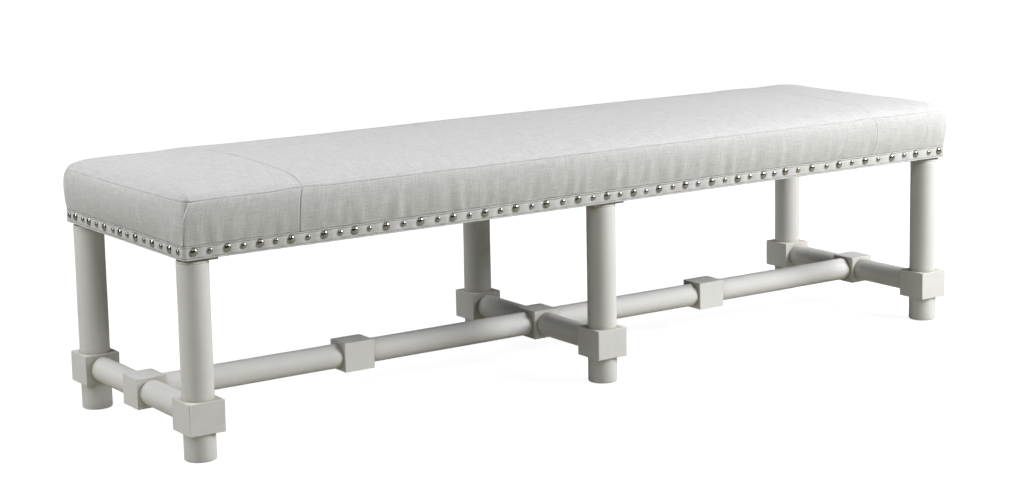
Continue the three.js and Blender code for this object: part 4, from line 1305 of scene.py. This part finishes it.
world = bpy.data.worlds.new("studio")
bpy.context.scene.world = world
world.use_nodes = True
wn = world.node_tree
wn.nodes.clear()
wout = wn.nodes.new("ShaderNodeOutputWorld")
seen = wn.nodes.new("ShaderNodeBackground")
seen.inputs["Color"].default_value = (1, 1, 1, 1)
seen.inputs["Strength"].default_value = 1.0
fill = wn.nodes.new("ShaderNodeBackground")
fill.inputs["Color"].default_value = (1.0, 0.995, 0.98, 1)
fill.inputs["Strength"].default_value = 0.018
path_node = wn.nodes.new("ShaderNodeLightPath")
wmix = wn.nodes.new("ShaderNodeMixShader")
wn.links.new(path_node.outputs["Is Camera Ray"], wmix.inputs[0])
wn.links.new(fill.outputs[0], wmix.inputs[1])
wn.links.new(seen.outputs[0], wmix.inputs[2])
wn.links.new(wmix.outputs[0], wout.inputs["Surface"])


def area(name, loc, target, w, h, power, colour=(1, 1, 1)):
    li = bpy.data.lights.new(name, "AREA")
    li.shape = "RECTANGLE"
    li.size, li.size_y = w, h
    li.energy = power
    li.color = colour
    ob = bpy.data.objects.new(name, li)
    bpy.context.scene.collection.objects.link(ob)
    ob.location = loc
    ob.rotation_euler = (Vector(target) - Vector(loc)).to_track_quat("-Z", "Y").to_euler()
    return ob


def around(turn, rise, distance, centre=(0.0, 0.0, 0.3)):
    """A place on a circle about a centre: turn in degrees from the camera's right, towards the camera."""
    t, e = math.radians(turn), math.radians(rise)
    side, front = Vector((0.828, -0.561, 0.0)), Vector((-0.561, -0.828, 0.0))
    d = (side * math.cos(t) + front * math.sin(t)) * math.cos(e) + Vector((0, 0, math.sin(e)))
    return Vector(centre) + d * distance


MIDDLE, RIGHT_HALF, LEFT_END = (0.0, 0.0, 0.3), (0.5, 0.0, 0.3), (-0.9, 0.0, 0.3)
LIGHTS = [
    ("key_right", around(5, 28, 4.0), MIDDLE, 1.8, 1.8, 64.0),
    ("key_right_near", around(20, 28, 3.0, RIGHT_HALF), RIGHT_HALF, 1.3, 1.3, 56.5),
    ("fill_front_high", around(70, 40, 3.0, (-0.3, 0.0, 0.3)), (-0.3, 0.0, 0.1), 1.3, 1.3, 10.5),
    ("fill_left", around(160, 25, 2.0, LEFT_END), LEFT_END, 0.8, 0.8, 10.8),
    ("fill_left_wide", around(145, 28, 3.0), (-0.6, 0.0, 0.3), 0.9, 0.9, 7.2),
    ("fill_left_high", around(146, 60, 2.2, LEFT_END), LEFT_END, 1.0, 1.0, 4.8),
    ("fill_back_left", around(185, 50, 3.0), (-0.6, 0.0, 0.3), 1.2, 1.2, 22.9),
    ("top_left", (-1.6, 0.2, 2.6), (-0.3, 0.0, 0.4), 1.6, 1.6, 6.6),
    ("top_right", (1.6, -0.3, 2.6), (0.3, 0.0, 0.4), 1.6, 1.6, 15.5),
]
for q in LIGHTS:
    area(*q)

az, el, roll = math.radians(-34.11695908), math.radians(9.13108871), math.radians(-1.09045888)
back = Vector((math.sin(az) * math.cos(el), -math.cos(az) * math.cos(el), math.sin(el)))
fwd = -back
right = fwd.cross(Vector((0, 0, 1))).normalized()
up = right.cross(fwd)
rr = math.cos(roll) * right + math.sin(roll) * up
uu = -math.sin(roll) * right + math.cos(roll) * up
cam_data = bpy.data.cameras.new("camera")
cam = bpy.data.objects.new("camera", cam_data)
bpy.context.scene.collection.objects.link(cam)
m = Matrix.Identity(4)
for i in range(3):
    m[i][0], m[i][1], m[i][2] = rr[i], uu[i], back[i]
m[0][3], m[1][3], m[2][3] = -2.5107348, -3.6102891, 1.0915151
cam.matrix_world = m
cam_data.sensor_fit, cam_data.sensor_width = "HORIZONTAL", 36.0
cam_data.lens = 2136.50894 / 1019 * 36.0
cam_data.shift_x, cam_data.shift_y = 0.0, (180 - 251.5) / 1019
cam_data.clip_start, cam_data.clip_end = 0.05, 400.0
bpy.context.scene.camera = cam
bpy.context.scene.view_settings.view_transform = "Standard"

bpy.context.view_layer.update()
